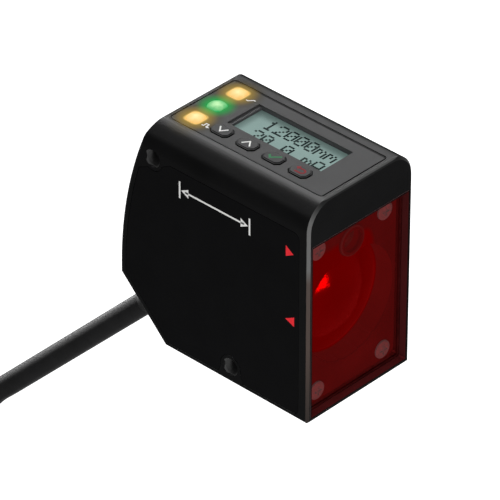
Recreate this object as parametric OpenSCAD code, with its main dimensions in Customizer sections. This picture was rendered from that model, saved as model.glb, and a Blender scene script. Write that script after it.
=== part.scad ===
// Laser distance sensor: a moulded box with a red window in front, a display and four keys
// on top, and a short cable that ends in a round screw plug.
// X runs across the width, the window faces -Y and +Z is up.
// The origin is the centre of the lower mounting hole, halfway across the width.

/* [Housing] */
// Width across the two sides
body_w = 39.7; // [39:0.1:60]
// Height from the base to the top
body_h = 68; // [67:0.5:90]
// Depth from the front to the furthest point of the rear
body_d = 68.7; // [68:0.1:90]
// Thickness of the moulded walls
wall = 2.2; // [1.6:0.1:2.4]
// Thickness of the floor
floor_t = 2.2; // [1.6:0.1:2.6]
// Radius of the two long edges beside the top
top_edge_r = 8; // [5:0.5:9]
// Radius of the two long edges beside the base
base_edge_r = 1; // [0.9:0.1:2]
// Bevel round the front
front_bevel = 0.75; // [0.3:0.05:0.85]
// Radius of the bulging rear, seen from the side
rear_r = 120; // [90:5:200]
// Height of the rear's furthest point above the base
rear_apex_h = 17.5; // [17:0.5:30]
// Radius of the corner between the top and the rear
rear_top_r = 1.5; // [1:0.5:6]
// Height of the sloped corner below the rear
slope_h = 16.4; // [14:0.1:17]
// Radius of the two ends of the slope
slope_r = 2.5; // [1:0.5:4]
// Rounding of the side edges at the rear and the slope
soft_edge = 1.2; // [0.6:0.1:1.6]

/* [Mounting holes] */
// Diameter of the two through holes
hole_d = 4.5; // [3:0.1:4.6]
// Depth of the countersink at each end
hole_sink = 0.45; // [0.1:0.05:1]
// Wall of the moulded tube round each hole
hole_wall = 1.05; // [0.8:0.05:1.1]
// Distance of the lower hole from the front
low_hole_y = 27.8; // [26:0.1:36]
// Height of the lower hole above the base
low_hole_h = 5; // [4.6:0.1:6]
// Distance of the upper hole from the furthest rear
high_hole_y = 12.9; // [12.6:0.1:13.4]
// Distance of the upper hole below the top
high_hole_h = 9.8; // [9.6:0.1:12]

/* [Window] */
// Thickness of the red pane
window_t = 2.5; // [1.5:0.1:2.6]
// Flat rim between the bevel and the pane at the sides
front_rim = 0.35; // [0.2:0.05:0.6]
// Flat rim between the bevel and the pane at the base
front_sill = 0.45; // [0.3:0.05:0.8]
// Height of the closed wall above the pane
brow_h = 12.4; // [11:0.1:13.5]
// Thickness of the closed wall above the pane
brow_t = 3.4; // [3.2:0.1:3.5]
// Thickness of the gasket behind the pane
gasket_t = 0.5; // [0.3:0.1:0.7]

/* [Side label] */
// Thickness of the overlay and depth of its pocket
label_t = 0.3; // [0.2:0.05:0.5]
// Distance of the overlay from the front
label_front = 3.3; // [2:0.1:6]
// Distance of the overlay below the top
label_drop = 9.2; // [8.5:0.1:12]
// Height of the overlay's lower edge above the base
label_base = 1.4; // [1.2:0.1:3]
// Distance of the overlay from the rear edge
label_rear = 2.2; // [1.6:0.1:3]
// Width of the ring left free round each mounting hole
label_ring = 1.3; // [0.6:0.1:2]
// Gap round the overlay
label_gap = 0.15; // [0.05:0.05:0.3]

/* [Top panel] */
// Width of the panel
panel_w = 24.7; // [24:0.1:25]
// Distance of the panel from the front
panel_front = 1.9; // [1.8:0.1:3]
// Distance of the panel from the rear edge of the top
panel_rear = 1.65; // [1.4:0.05:3]
// Distance of the panel's middle from the housing's middle
panel_x = -0.75; // [-0.9:0.05:0.9]
// Thickness of the panel
panel_t = 1.4; // [1.2:0.1:2]
// Radius of the panel's corners
panel_r = 1; // [0.5:0.1:2]
// Width of the groove round the panel
panel_gap = 0.25; // [0.1:0.05:0.4]
// Width of the ledge that carries the panel
panel_ledge = 1; // [0.6:0.1:1.4]
// Thickness of the ledge
ledge_t = 1.2; // [0.8:0.1:1.6]

/* [Display] */
// Width of the display opening
lcd_w = 12.2; // [10:0.1:12.6]
// Middle of the display opening, from the panel's middle
lcd_x = 2.1; // [1.9:0.1:3]
// Front end of the display opening, from the front
lcd_front = 9.9; // [8.5:0.1:12]
// Distance between the display opening and the indicators
lcd_rear_gap = 5.1; // [4.8:0.1:8]
// Width of the step at the rear end of the opening
lcd_step = 1.1; // [0.5:0.1:2]
// Thickness of the clear pane below the opening
pane_t = 0.5; // [0.4:0.05:0.6]
// How far the display parts reach past the opening
lcd_lap = 0.6; // [0.3:0.05:0.7]
// Thickness of the display glass
lcd_glass_t = 0.7; // [0.5:0.05:0.9]
// Air between the clear pane and the display glass
lcd_air = 0.1; // [0.05:0.05:0.3]
// Height of the space between panel and display board
board_space = 3.2; // [3.1:0.05:3.4]
// Thickness of the display board
display_board_t = 1; // [0.6:0.1:1]

/* [Keys] */
// Size of a key across the panel
key_w = 4.3; // [3.6:0.1:4.4]
// Distance between two keys
key_space = 3.05; // [2:0.05:4]
// Size of the cut corners of a key
key_cut = 1.1; // [0.6:0.1:1.4]
// Height of a key above the panel
key_rise = 0.5; // [0.3:0.05:0.8]
// Distance of the keys' line from the panel's middle
key_x = 7.9; // [7.8:0.05:8.2]
// Distance of the first key's middle from the front end of the display opening
key_in_front = 3.65; // [3.4:0.05:5]
// Distance of the last key's middle from the rear end of the display opening
key_in_rear = 2; // [1.8:0.05:5]
// Gap round a key
key_gap = 0.25; // [0.15:0.05:0.3]
// Travel of a key
key_travel = 0.5; // [0.2:0.05:0.5]
// How far a key's flange reaches past its cap
key_flange = 0.55; // [0.4:0.05:0.6]
// Side of a key switch's case
switch_side = 4.5; // [3.6:0.1:5]
// Height of a key switch's case
switch_h = 1.5; // [1.3:0.05:1.6]
// Diameter of a key switch's plunger
plunger_d = 2.4; // [1.6:0.1:2.8]

/* [Indicators] */
// Side of an indicator's dome
light_side = 4.6; // [3.6:0.1:5]
// Height of the dome above the panel
light_rise = 0.6; // [0.3:0.05:1]
// Distance between two indicators
light_pitch = 8; // [7:0.1:8.1]
// Distance of the indicators from the panel's rear end
light_in = 5.2; // [4.2:0.05:6]
// Side of the light pipe below the panel
light_stem = 3.4; // [2.4:0.1:4]
// Height of an indicator's light source
led_h = 0.6; // [0.4:0.05:0.9]

/* [Optics] */
// Depth of the lens holder's face behind the front
holder_y = 3.6; // [3.5:0.1:4.2]
// Depth of the lens holder
holder_t = 9.5; // [9:0.1:11]
// Radius of the lens holder's corners
holder_r = 2.5; // [1:0.5:3]
// Gap between the lens holder and the housing
holder_gap = 0.2; // [0.1:0.05:0.4]
// Distance of the screws from the lens holder's sides
screw_in_x = 4.7; // [4:0.1:5]
// Distance of the screws from the lens holder's ends
screw_in_z = 3.6; // [3.4:0.1:4.2]
// Diameter of the screws of the lens holder
screw_d = 3; // [2:0.1:3.2]
// Diameter of the screws' heads
screw_head_d = 5.3; // [4.5:0.1:5.6]
// Height of the screws' heads
screw_head_h = 0.8; // [0.6:0.1:0.9]
// Length of the screws below their heads
screw_l = 14; // [12:0.5:15]
// Length of the screw posts behind the lens holder
post_l = 7; // [5:0.5:8]
// Height of the receiver's axis above the base
receiver_h = 27.3; // [26.5:0.1:28]
// Wall of the lens holder beside the receiver lens
receiver_side = 0.6; // [0.5:0.1:1.6]
// Web between the receiver lens and the emitter tube
receiver_web = 0.55; // [0.5:0.05:2]
// Depth of the receiver lens's rim behind the holder's face
receiver_in = 6; // [5:0.1:6.5]
// Thickness of the receiver lens's rim
receiver_rim = 2; // [1.5:0.1:2.4]
// Height of the dome at the front of the receiver lens
receiver_dome = 5.2; // [3:0.1:5.6]
// Height of the dome at the rear of the receiver lens
receiver_back = 1.8; // [0.5:0.1:2.4]
// Gap round the receiver lens
lens_gap = 0.15; // [0.05:0.05:0.2]
// Distance of the emitter's axis from the top of the lens holder
emitter_in = 6.6; // [5.8:0.1:6.7]
// Outer diameter of the emitter tube
emitter_d = 8.7; // [8:0.1:8.8]
// How far the emitter tube stands out of the holder's face
emitter_out = 0.8; // [0.4:0.1:0.9]
// Diameter of the emitter lens
emitter_lens_d = 6.4; // [5.6:0.1:7]
// Length of the emitter tube behind the lens holder
emitter_tail = 6.4; // [5:0.1:8]
// How far the barrel's front end reaches past the receiver lens
barrel_lap = 0.1; // [0:0.05:0.4]
// Outer diameter of the barrel's rear end
barrel_rear_d = 14; // [12:0.2:18]
// Wall of the barrel
barrel_wall = 1; // [0.8:0.1:1.6]

/* [Boards] */
// Thickness of the detector board and of the laser board
small_board_t = 1.2; // [0.8:0.1:1.6]
// Side of the detector board
detector_side = 20; // [16:0.5:24]
// Distance between the detector board and the main board
header_h = 4.8; // [4:0.1:5.4]
// Thickness of the main board
main_board_t = 1.6; // [1:0.1:1.8]
// Gap between the main board and the side walls
main_board_side = 1.25; // [0.8:0.05:3]
// Height of the main board's lower edge above the base
main_board_low = 13.5; // [12.5:0.1:15]
// Distance between the main board and the tube of the upper hole
main_board_drop = 4.9; // [4:0.1:8]
// Distance of the main board's screws from its edges
main_screw_in = 3.7; // [3:0.1:4.5]
// Diameter of the main board's screws
main_screw_d = 2; // [1.6:0.1:2.4]
// Length of the main board's screws behind the board
main_screw_grip = 4; // [3:0.1:5]
// Width of the laser's board
laser_board_w = 16; // [12:0.5:20]
// Height of the laser's board
laser_board_h = 9.6; // [8:0.1:9.8]
// Distance of the laser's axis from the lower edge of its board
laser_board_drop = 4.2; // [3:0.1:4.3]
// Width of the light sensor behind the barrel
photodiode_w = 6; // [4:0.1:8]
// Height of the light sensor
photodiode_h = 5; // [3:0.1:8]
// Thickness of the light sensor
photodiode_t = 1.5; // [0.8:0.1:1.8]
// Width of the pin header between the boards
header_w = 12; // [6:0.5:16]
// Height of the pin header
header_t = 4; // [2:0.1:5]
// Side of a small chip on the main board
chip_side = 4; // [3:0.1:4.4]
// Thickness of the chips
chip_t = 1.4; // [0.6:0.1:3]
// Width of the ribbon's socket
socket_w = 10; // [9:0.1:14]
// Height of the ribbon's socket
socket_h = 3; // [2:0.1:3.4]
// Thickness of the ribbon's socket
socket_t = 1.5; // [1:0.1:2.4]
// Width of the display's ribbon
ribbon_w = 8; // [5:0.1:9]
// Thickness of the display's ribbon
ribbon_t = 0.3; // [0.2:0.05:0.5]
// Width of the terminal block for the cable's wires
wire_block_w = 10; // [6:0.5:14]
// Height of the terminal block
wire_block_h = 5.5; // [5:0.1:7]
// Thickness of the terminal block
wire_block_t = 2.2; // [2:0.1:3]
// Height of the terminal block above the main board's lower edge
wire_block_up = 0.5; // [0.2:0.1:1]

/* [Cable] */
// Diameter of the cable
cable_d = 6.7; // [6:0.1:7]
// Height above the base at which the cable leaves the slope
cable_exit_h = 8.9; // [8.5:0.1:10.5]
// Diameter of the strain relief's collar on the slope
boot_d = 11; // [10.4:0.1:12]
// How far the strain relief reaches backwards
boot_run = 16.75; // [14:0.25:20]
// Thickness of the collar on the slope
boot_collar = 1.6; // [0.8:0.1:2.4]
// Distance between the grooves round the strain relief
boot_pitch = 3; // [2.4:0.1:4]
// Diameter of the hole in the sloped wall
boot_hole_d = 8; // [7.4:0.1:9]
// Thickness of the flange inside the sloped wall
boot_flange = 1.5; // [1:0.1:2]
// Diameter of the cable's core inside the body
lead_d = 4.6; // [4:0.1:5.5]

/* [Plug] */
// Length of the plug's moulded body
plug_l = 22; // [18:0.5:30]
// Diameter of the plug's moulded body
plug_d = 11.6; // [10:0.1:12.4]
// Diameter of the plug's screw thread
thread_d = 11.9; // [11.6:0.1:12.4]
// Length of the thread
thread_l = 8; // [7:0.1:10]
// Depth of the round well that the contacts stand in
well_l = 8.6; // [7:0.1:10]
// Diameter of the well
well_d = 8.8; // [8:0.1:9]
// Diameter of the ring's grip
ring_d = 14.4; // [13:0.1:16]
// Length of the ring's grip
ring_l = 9.6; // [8:0.1:12]
// Number of flutes round the grip
ring_flutes = 20; // [12:1:28]
// Play between the ring and the plug's body
ring_play = 0.08; // [0.05:0.01:0.1]

/* [Hidden] */
$fn = 96;
eps = 0.01;
reach = 200;
root_two = sqrt(2);

// The cable's way in the upright middle plane: steps back and down from the boot's end
cable_steps = [
    [0, 0], [7, 7], [14, 14], [21, 21], [28, 28], [35, 35], [42, 42], [49, 49], [56, 56],
    [62, 62], [66.5, 68], [69.2, 74.8], [70, 82], [70, 92], [70, 102], [70, 112], [70, 122],
];

half_w = body_w / 2;
cavity_x = half_w - wall;
// The side view of the rear is an arc about this point
arc_y = body_d - rear_r;
top_end = arc_y + sqrt(pow(rear_r, 2) - pow(body_h - rear_apex_h, 2));
// Points on the slope have this distance from the front less their height
slope_sum = body_d - slope_h;

// Mounting holes: distance from the front and height above the base
low_hole = [low_hole_y, low_hole_h];
high_hole = [body_d - high_hole_y, body_h - high_hole_h];
boss_r = hole_d / 2 + hole_wall;

// Front stack, from the front backwards
pane_x = half_w - front_bevel - front_rim;
pane_low = front_bevel + front_sill;
pane_high = body_h - brow_h;
pane_clear = 0.1;
seat_y = window_t + gasket_t;
seat_top = 1;
holder_x = cavity_x - holder_gap;
holder_low = floor_t + holder_gap;
holder_high = pane_high - seat_top - 0.7;
holder_back = holder_y + holder_t;
screw_x = holder_x - screw_in_x;
screw_z = [holder_low + screw_in_z, holder_high - screw_in_z];
screw_play = 0.2;
receiver_r = holder_x - receiver_side - lens_gap;
receiver_y = holder_y + receiver_in;
receiver_back_y = receiver_y + receiver_rim;
lens_lip = 1;
emitter_h = holder_high - emitter_in;
receiver_trim = emitter_h - emitter_d / 2 - receiver_web - receiver_h;
emitter_y = holder_y - emitter_out;
emitter_wall = 1.05;
emitter_seat = 4;
emitter_end = holder_back + emitter_tail;
diode_d = 5.6;

// The main board stands in line with the front of the upper hole's tube
main_y = high_hole[0] - boss_r;
main_end = main_y + main_board_t;
main_high = high_hole[1] - boss_r - main_board_drop;
main_board_x = cavity_x - main_board_side;
main_screw_x = main_board_x - main_screw_in;
main_screw_z = [main_board_low + main_screw_in, main_high - main_screw_in];
detector_end = main_y - header_h;
barrel_end = detector_end - small_board_t;
ribbon_low = main_high - 2 * socket_h;

// Top stack, from the top downwards
panel_z = body_h - panel_t;
panel_end = top_end - panel_rear;
panel_l = panel_end - panel_front;
panel_mid = (panel_front + panel_end) / 2;
opening_x = panel_w / 2 - panel_ledge;
opening_y = [panel_front + panel_ledge, panel_end - panel_ledge];
ceiling = panel_z - ledge_t;
board_top = panel_z - board_space;
board_low = board_top - display_board_t;
board_gap = 0.2;
board_front = max(opening_y[0], brow_t) + board_gap;
glass_top = panel_z - pane_t - lcd_air;
light_y = panel_end - light_in;
light_spots = [-light_pitch, 0, light_pitch];
light_gap = 0.15;
light_flange = 0.4;
lcd_rear = light_y - light_side / 2 - lcd_rear_gap;
lcd_l = lcd_rear - lcd_front;
lcd_span = [lcd_w + 2 * lcd_lap, lcd_l + 2 * lcd_lap];
lcd_mid = lcd_front + lcd_l / 2;

// The keys are spread along the display
key_pitch = (lcd_l - key_in_front - key_in_rear) / 3;
key_l = key_pitch - key_space;
key_play = 0.05;
flange_t = 0.6;
plunger_top = board_top + switch_h + key_travel + 0.1;

// The posts stand in the middle of the free strips before and behind display and keys
post_d = 2.6;
post_screw_d = 1.4;
post_y = [
    (opening_y[0] + lcd_front - lcd_lap) / 2,
    (lcd_rear - key_in_rear + key_l / 2 + key_flange + light_y - light_side / 2
        - light_flange) / 2,
];
display_posts = [for (x = [-1, 1], y = post_y) [x * (opening_x - 2), y]];

// The cable leaves along this line, square to the slope
exit_y = slope_sum + cable_exit_h;
lead_depth = (exit_y - main_end - wire_block_t) * root_two + lead_d;
cable_start = [0, exit_y + boot_run - low_hole_y, cable_exit_h - boot_run - low_hole_h];
cable_route = [for (step = cable_steps) cable_start + [0, step[0], -step[1]]];
cable_end = cable_route[len(cable_route) - 1];
start_y = cable_start[1] + low_hole_y;
start_z = cable_start[2] + low_hole_h;
boot_l = boot_run * root_two;
cable_sides = 10;
cable_step = 0.5;

plug_neck_r = 4.2;
plug_collar_r = 5;
plug_collar_t = 1.5;
ring_top = -plug_l - 0.3;
ring_lip = 3;
ring_end = ring_top - ring_l - thread_l;
collar_top = ring_top - ring_lip;
collar_end = collar_top - plug_collar_t;
insert_end = ring_end + 0.4;
pin_r = 0.5;
pin_circle_r = 2.5;
pin_back = 1;
pin_root = 1.6;

// Placing

module at_mount() {
    translate([0, -low_hole_y, -low_hole_h]) children();
}

// The same, moved to the middle of the top panel
module at_panel() {
    at_mount() translate([panel_x, 0, 0]) children();
}

// A side view, drawn as depth and height, given a thickness across the width
module across(x0, x1) {
    translate([x0, 0, 0]) rotate([90, 0, 90]) linear_extrude(x1 - x0) children();
}

// A front view, drawn as width and height, given a depth
module backwards(y0, y1) {
    translate([0, y1, 0]) rotate([90, 0, 0]) linear_extrude(y1 - y0) children();
}

// A round bar or cone from the front to the rear at a place of the front view
module rod_y(x, z, y0, y1, r0, r1) {
    translate([x, y0, z]) rotate([-90, 0, 0]) cylinder(h = y1 - y0, r1 = r0, r2 = r1);
}

// A round bar across the width at a place of the side view
module rod_x(spot, x0, x1, r0, r1) {
    translate([x0, spot[0], spot[1]]) rotate([0, 90, 0])
        cylinder(h = x1 - x0, r1 = r0, r2 = r1);
}

// Draws in a frame that stands on the slope, with its height along the cable
module on_slope() {
    translate([0, start_y, start_z]) rotate([-135, 0, 0]) translate([0, 0, -boot_l])
        children();
}

// The frame of the plug: the cable comes from above and the pins point down
module at_plug() {
    translate(cable_end) children();
}

function heading(a) = [cos(a), sin(a)];

// Outlines

// What is cut off a corner between two edges that a circle about c touches
module corner_cut(c, a0, a1, r) {
    far = 3 * r;
    difference() {
        polygon([
            c, c + far * heading(a0),
            c + 1.4 * far * heading((a0 + a1) / 2), c + far * heading(a1),
        ]);
        translate(c) circle(r);
    }
}

module rounded_box(w, h, r) {
    difference() {
        square([w, h], center = true);
        for (i = [0:3])
            corner_cut(
                [(i == 0 || i == 3 ? 1 : -1) * (w / 2 - r), (i < 2 ? 1 : -1) * (h / 2 - r)],
                90 * i, 90 * i + 90, r);
    }
}

// Front view of the housing, smaller by an inset
module front_view(inset) {
    r = top_edge_r - inset;
    x = half_w - inset;
    top = body_h - inset;
    base_r = max(base_edge_r - inset, 0.2);
    difference() {
        translate([-x, inset]) square([2 * x, top - inset]);
        corner_cut([x - r, top - r], 0, 90, r);
        corner_cut([r - x, top - r], 90, 180, r);
        corner_cut([base_r - x, inset + base_r], 180, 270, base_r);
        corner_cut([x - base_r, inset + base_r], 270, 360, base_r);
    }
}

// Side view of the housing, smaller by an inset, between a front, a floor and a top
module side_view(inset, front, low, high) {
    arc_r = rear_r - inset;
    top_r = max(rear_top_r - inset, 0.5);
    low_r = max(slope_r - inset, 0.5);
    sum = slope_sum - inset * root_two;
    top_at = [
        arc_y + sqrt(pow(arc_r - top_r, 2) - pow(high - top_r - rear_apex_h, 2)),
        high - top_r,
    ];
    u = sum - low_r * root_two;
    v = arc_y + rear_apex_h
        + sqrt(2 * pow(arc_r - low_r, 2) - pow(u - arc_y + rear_apex_h, 2));
    rear_at = [(v + u) / 2, (v - u) / 2];
    base_at = [u + low + low_r, low + low_r];
    difference() {
        intersection() {
            translate([front, low]) square([reach, high - low]);
            translate([arc_y, rear_apex_h]) circle(arc_r, $fn = 360);
            polygon([
                [-reach, -reach], [sum - reach, -reach],
                [sum + reach, reach], [-reach, reach],
            ]);
        }
        corner_cut(top_at, atan2(top_at[1] - rear_apex_h, top_at[0] - arc_y), 90, top_r);
        corner_cut(rear_at, -45,
            atan2(rear_at[1] - rear_apex_h, rear_at[0] - arc_y), low_r);
        corner_cut(base_at, -90, -45, low_r);
    }
}

// Half of a soft edge: four points of a rounded corner, the last carried on outwards
function soft_corner(edge, side) = [
    for (a = [0, 30, 60])
        [edge - soft_edge + soft_edge * cos(a), side - soft_edge + soft_edge * sin(a)],
    [edge - soft_edge - 5, side + 5 * tan(15)],
];

// A section that fills up to edge, with soft corners at both sides of the housing
module soft_section(edge, depth) {
    right = soft_corner(edge, half_w);
    polygon([
        for (p = right) p,
        [edge - depth, half_w + 5 * tan(15)], [edge - depth, -half_w - 5 * tan(15)],
        for (i = [3:-1:0]) [right[i][0], -right[i][1]],
    ]);
}

// Housing

// The soft-edged disc whose rim is the rear
module rear_disc() {
    translate([0, arc_y, rear_apex_h]) rotate([0, 90, 0])
        rotate_extrude($fn = 360) soft_section(rear_r, rear_r);
}

// The soft-edged slab whose face is the slope
module slope_slab() {
    translate([0, slope_sum / 2, -slope_sum / 2]) rotate([-45, 0, 0])
        translate([0, 0, -reach]) rotate([0, 0, 90])
        linear_extrude(2 * reach) soft_section(0, reach);
}

// The first slice of the body, from the bevel's front to its full outline
module front_slice() {
    b = front_bevel;
    across_x = half_w - top_edge_r;
    base_x = half_w - base_edge_r;
    intersection() {
        translate([0, 0, base_edge_r]) linear_extrude(body_h - top_edge_r - base_edge_r)
            polygon([[b - half_w, 0], [half_w - b, 0], [half_w, b], [-half_w, b]]);
        translate([-half_w, 0, 0]) cube([body_w, b, body_h]);
    }
    across(-across_x, across_x)
        polygon([[0, body_h / 2], [b, body_h / 2], [b, body_h], [0, body_h - b]]);
    across(-base_x, base_x)
        polygon([[0, body_h / 2], [0, b], [b, 0], [b, body_h / 2]]);
    for (s = [-1, 1]) {
        rod_y(s * across_x, body_h - top_edge_r, 0, b, top_edge_r - b, top_edge_r);
        rod_y(s * base_x, base_edge_r, 0, b, base_edge_r - b, base_edge_r);
    }
}

module body_form() {
    front_slice();
    intersection() {
        backwards(front_bevel, body_d + 1) front_view(0);
        across(-half_w - 1, half_w + 1) side_view(0, 0, 0, body_h);
        rear_disc();
        slope_slab();
    }
}

module cavity() {
    intersection() {
        backwards(0, body_d) front_view(wall);
        across(-cavity_x, cavity_x) side_view(wall, brow_t, floor_t, ceiling);
    }
}

// Tubes and posts that stand inside the cavity
module inner_posts() {
    for (spot = [low_hole, high_hole])
        rod_x(spot, -half_w, half_w, boss_r, boss_r);
    for (s = [-1, 1], z = screw_z) {
        rod_y(s * screw_x, z, holder_back, holder_back + post_l, 3, 3);
        translate([s > 0 ? screw_x : -half_w, holder_back, z - 2])
            cube([half_w - screw_x, post_l, 4]);
    }
    for (s = [-1, 1])
        translate([s * screw_x - 2, holder_back, 0]) cube([4, post_l, screw_z[0]]);
    for (s = [-1, 1], z = main_screw_z)
        rod_y(s * main_screw_x, z, main_end, body_d, 2.6, 2.6);
}

module hole_with_sinks(spot) {
    r = hole_d / 2;
    rod_x(spot, -half_w - 1, half_w + 1, r, r);
    rod_x(spot, -half_w - eps, hole_sink - half_w, r + hole_sink + eps, r);
    rod_x(spot, half_w - hole_sink, half_w + eps, r, r + hole_sink + eps);
}

// The overlay's outline, smaller by a gap. A flared notch frees each mounting hole.
module label_outline(gap) {
    high = body_h - label_drop - gap;
    low = label_base + gap;
    front = label_front + gap;
    ring = hole_d / 2 + label_ring + gap;
    corner = 2;
    difference() {
        side_view(label_rear + gap, front, low, high);
        corner_cut([front + corner, high - corner], 90, 180, corner);
        corner_cut([front + corner, low + corner], 180, 270, corner);
        for (spot = [low_hole, high_hole]) translate(spot) circle(ring);
        translate(low_hole) polygon([
            [-ring - 1.6, -low_hole_h], [-ring, -1], [ring, -1], [ring + 1.6, -low_hole_h],
        ]);
        translate(high_hole) polygon([
            [-ring - 3, reach], [-ring - 2.6, 0.6], [-ring, -1], 0.88 * [ring / 2, -ring],
            [ring / 2, -0.88 * ring] + reach * [1, -0.48], [reach, reach],
        ]);
    }
}

module housing() {
    at_mount() color("#2a2a2c") difference() {
        body_form();
        difference() {
            cavity();
            inner_posts();
        }
        backwards(-1, seat_y) translate([0, (pane_low + pane_high) / 2])
            rounded_box(2 * pane_x, pane_high - pane_low, 0.8);
        backwards(seat_y - eps, brow_t + 1)
            translate([-cavity_x, floor_t]) square([2 * cavity_x, pane_high - seat_top - floor_t]);
        translate([panel_x, panel_mid, panel_z]) linear_extrude(panel_t + 1)
            rounded_box(panel_w + 2 * panel_gap, panel_l + 2 * panel_gap, panel_r + panel_gap);
        translate([panel_x - opening_x, opening_y[0], ceiling - 1])
            cube([2 * opening_x, opening_y[1] - opening_y[0], ledge_t + 2]);
        across(-half_w - 1, label_t - half_w) label_outline(0);
        for (spot = [low_hole, high_hole]) hole_with_sinks(spot);
        for (s = [-1, 1], z = screw_z)
            rod_y(s * screw_x, z, holder_back - 1, holder_back + post_l + 1,
                (screw_d + screw_play) / 2, (screw_d + screw_play) / 2);
        for (s = [-1, 1], z = main_screw_z)
            rod_y(s * main_screw_x, z, main_end - 1, main_end + 5,
                (main_screw_d + screw_play) / 2, (main_screw_d + screw_play) / 2);
        on_slope() translate([0, 0, -wall - 3]) cylinder(h = wall + 4, d = boot_hole_d);
    }
}

module window() {
    at_mount() color("#c01818", 0.6) backwards(0, window_t)
        translate([0, (pane_low + pane_high) / 2])
        rounded_box(2 * (pane_x - pane_clear), pane_high - pane_low - 2 * pane_clear, 0.7);
}

module window_gasket() {
    low = pane_low + pane_clear;
    high = pane_high - pane_clear;
    at_mount() color("#111111") backwards(window_t, seat_y) difference() {
        translate([0, (low + high) / 2])
            rounded_box(2 * (pane_x - pane_clear), high - low, 0.7);
        translate([-cavity_x, floor_t]) square([2 * cavity_x, pane_high - seat_top - floor_t]);
    }
}

module side_label() {
    at_mount() color("#0b0b0b") across(-half_w, label_t - half_w) label_outline(label_gap);
}

// Top

function key_y(i) = lcd_front + key_in_front + i * key_pitch;

module key_outline(grow) {
    w = key_w / 2 + grow;
    l = key_l / 2 + grow;
    cut = key_cut + 0.4 * grow;
    polygon([
        [w - cut, -l], [w, cut - l], [w, l - cut], [w - cut, l],
        [cut - w, l], [-w, l - cut], [-w, cut - l], [cut - w, -l],
    ]);
}

module top_panel() {
    at_panel() color("#5a5a5c") difference() {
        union() {
            intersection() {
                translate([0, panel_mid, panel_z]) linear_extrude(panel_t)
                    rounded_box(panel_w, panel_l, panel_r);
                translate([-panel_x, 0, 0]) backwards(0, body_d) front_view(0);
            }
            for (spot = display_posts)
                translate([spot[0], spot[1], board_top])
                    cylinder(h = board_space + eps, d = post_d);
        }
        translate([lcd_x - lcd_w / 2, lcd_front, panel_z - 1])
            cube([lcd_w, lcd_l - lcd_step, panel_t + 2]);
        translate([lcd_x - lcd_w / 2, lcd_front, panel_z + 0.6 * panel_t])
            cube([lcd_w, lcd_l, panel_t]);
        for (i = [0:3]) translate([-key_x, key_y(i), panel_z - 1])
            linear_extrude(panel_t + 2) key_outline(key_gap);
        for (x = light_spots) translate([x, light_y, panel_z - 1])
            linear_extrude(panel_t + 2)
            rounded_box(light_side + 2 * light_gap, light_side + 2 * light_gap, 1.2);
        for (spot = display_posts) translate([spot[0], spot[1], board_top - 1])
            cylinder(h = board_space, d = post_screw_d + screw_play);
    }
}

module display_window() {
    at_panel() color("#e8f0f0", 0.35)
        translate([lcd_x, lcd_mid, panel_z - pane_t]) linear_extrude(pane_t)
        square(lcd_span, center = true);
}

module lcd_glass() {
    at_panel() color("#93ada6") translate([lcd_x, lcd_mid, glass_top - lcd_glass_t])
        linear_extrude(lcd_glass_t) square(lcd_span, center = true);
}

module lcd_frame() {
    at_panel() color("#d8d8d4") translate([lcd_x, lcd_mid, board_top])
        linear_extrude(glass_top - lcd_glass_t - board_top)
        square([lcd_span[0] - 0.4, lcd_span[1]], center = true);
}

module display_board() {
    w = 2 * (opening_x - board_gap);
    at_panel() color("#14532d") difference() {
        translate([-w / 2, board_front, board_low])
            cube([w, opening_y[1] - board_gap - board_front, display_board_t]);
        for (spot = display_posts) translate([spot[0], spot[1], board_low - 1])
            cylinder(h = display_board_t + 2, d = post_screw_d + screw_play);
    }
}

// A pan-head screw with a cross recess: the head lies above z = 0
module cross_screw(d, l, head_d, head_h) {
    difference() {
        union() {
            translate([0, 0, -l]) cylinder(h = l + eps, d = d);
            cylinder(h = 0.6 * head_h, d = head_d);
            translate([0, 0, 0.6 * head_h])
                cylinder(h = 0.4 * head_h, d1 = head_d, d2 = 0.72 * head_d);
        }
        for (a = [0, 90]) rotate([0, 0, a]) translate([0, 0, head_h])
            cube([0.5 * head_d, 0.13 * head_d, head_h], center = true);
    }
}

module display_screws() {
    at_panel() color("silver") for (spot = display_posts)
        translate([spot[0], spot[1], board_low]) rotate([180, 0, 0])
        cross_screw(post_screw_d, display_board_t + board_space - 1.2, 2.6, 0.8);
}

module switch_cases() {
    at_panel() color("#1c1c1c") for (i = [0:3])
        translate([-key_x, key_y(i), board_top]) difference() {
            translate([-switch_side / 2, -switch_side / 2, 0])
                cube([switch_side, switch_side, switch_h]);
            translate([0, 0, 0.3]) cylinder(h = switch_h, d = plunger_d + 2 * key_play);
        }
}

module led_chips() {
    at_panel() color("#f4e7b0") for (x = light_spots)
        translate([x - 1.4, light_y - 1, board_top]) cube([2.8, 2, led_h]);
}

// A key: cap through the panel, flange below it and stem down to the switch
module key_cap(i) {
    at_panel() translate([-key_x, key_y(i), 0]) {
        translate([0, 0, panel_z - key_play - flange_t])
            linear_extrude(flange_t + key_play + panel_t + key_rise - 0.25) key_outline(0);
        translate([0, 0, body_h + key_rise - 0.25 - eps])
            linear_extrude(0.25 + eps) key_outline(-0.25);
        translate([0, 0, panel_z - key_play - flange_t])
            linear_extrude(flange_t) key_outline(key_flange);
        translate([0, 0, plunger_top])
            cylinder(h = panel_z - plunger_top - flange_t, d = plunger_d + 0.8);
    }
}

module plunger(i) {
    at_panel() color("#d8d2c4") translate([-key_x, key_y(i), board_top + 0.3 + key_travel + 0.1])
        cylinder(h = plunger_top - board_top - 0.4 - key_travel, d = plunger_d);
}

module back_key() { color("#4c4c4e") key_cap(0); }
module enter_key() { color("#4c4c4e") key_cap(1); }
module up_key() { color("#4c4c4e") key_cap(2); }
module down_key() { color("#4c4c4e") key_cap(3); }
module back_plunger() { plunger(0); }
module enter_plunger() { plunger(1); }
module up_plunger() { plunger(2); }
module down_plunger() { plunger(3); }

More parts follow.
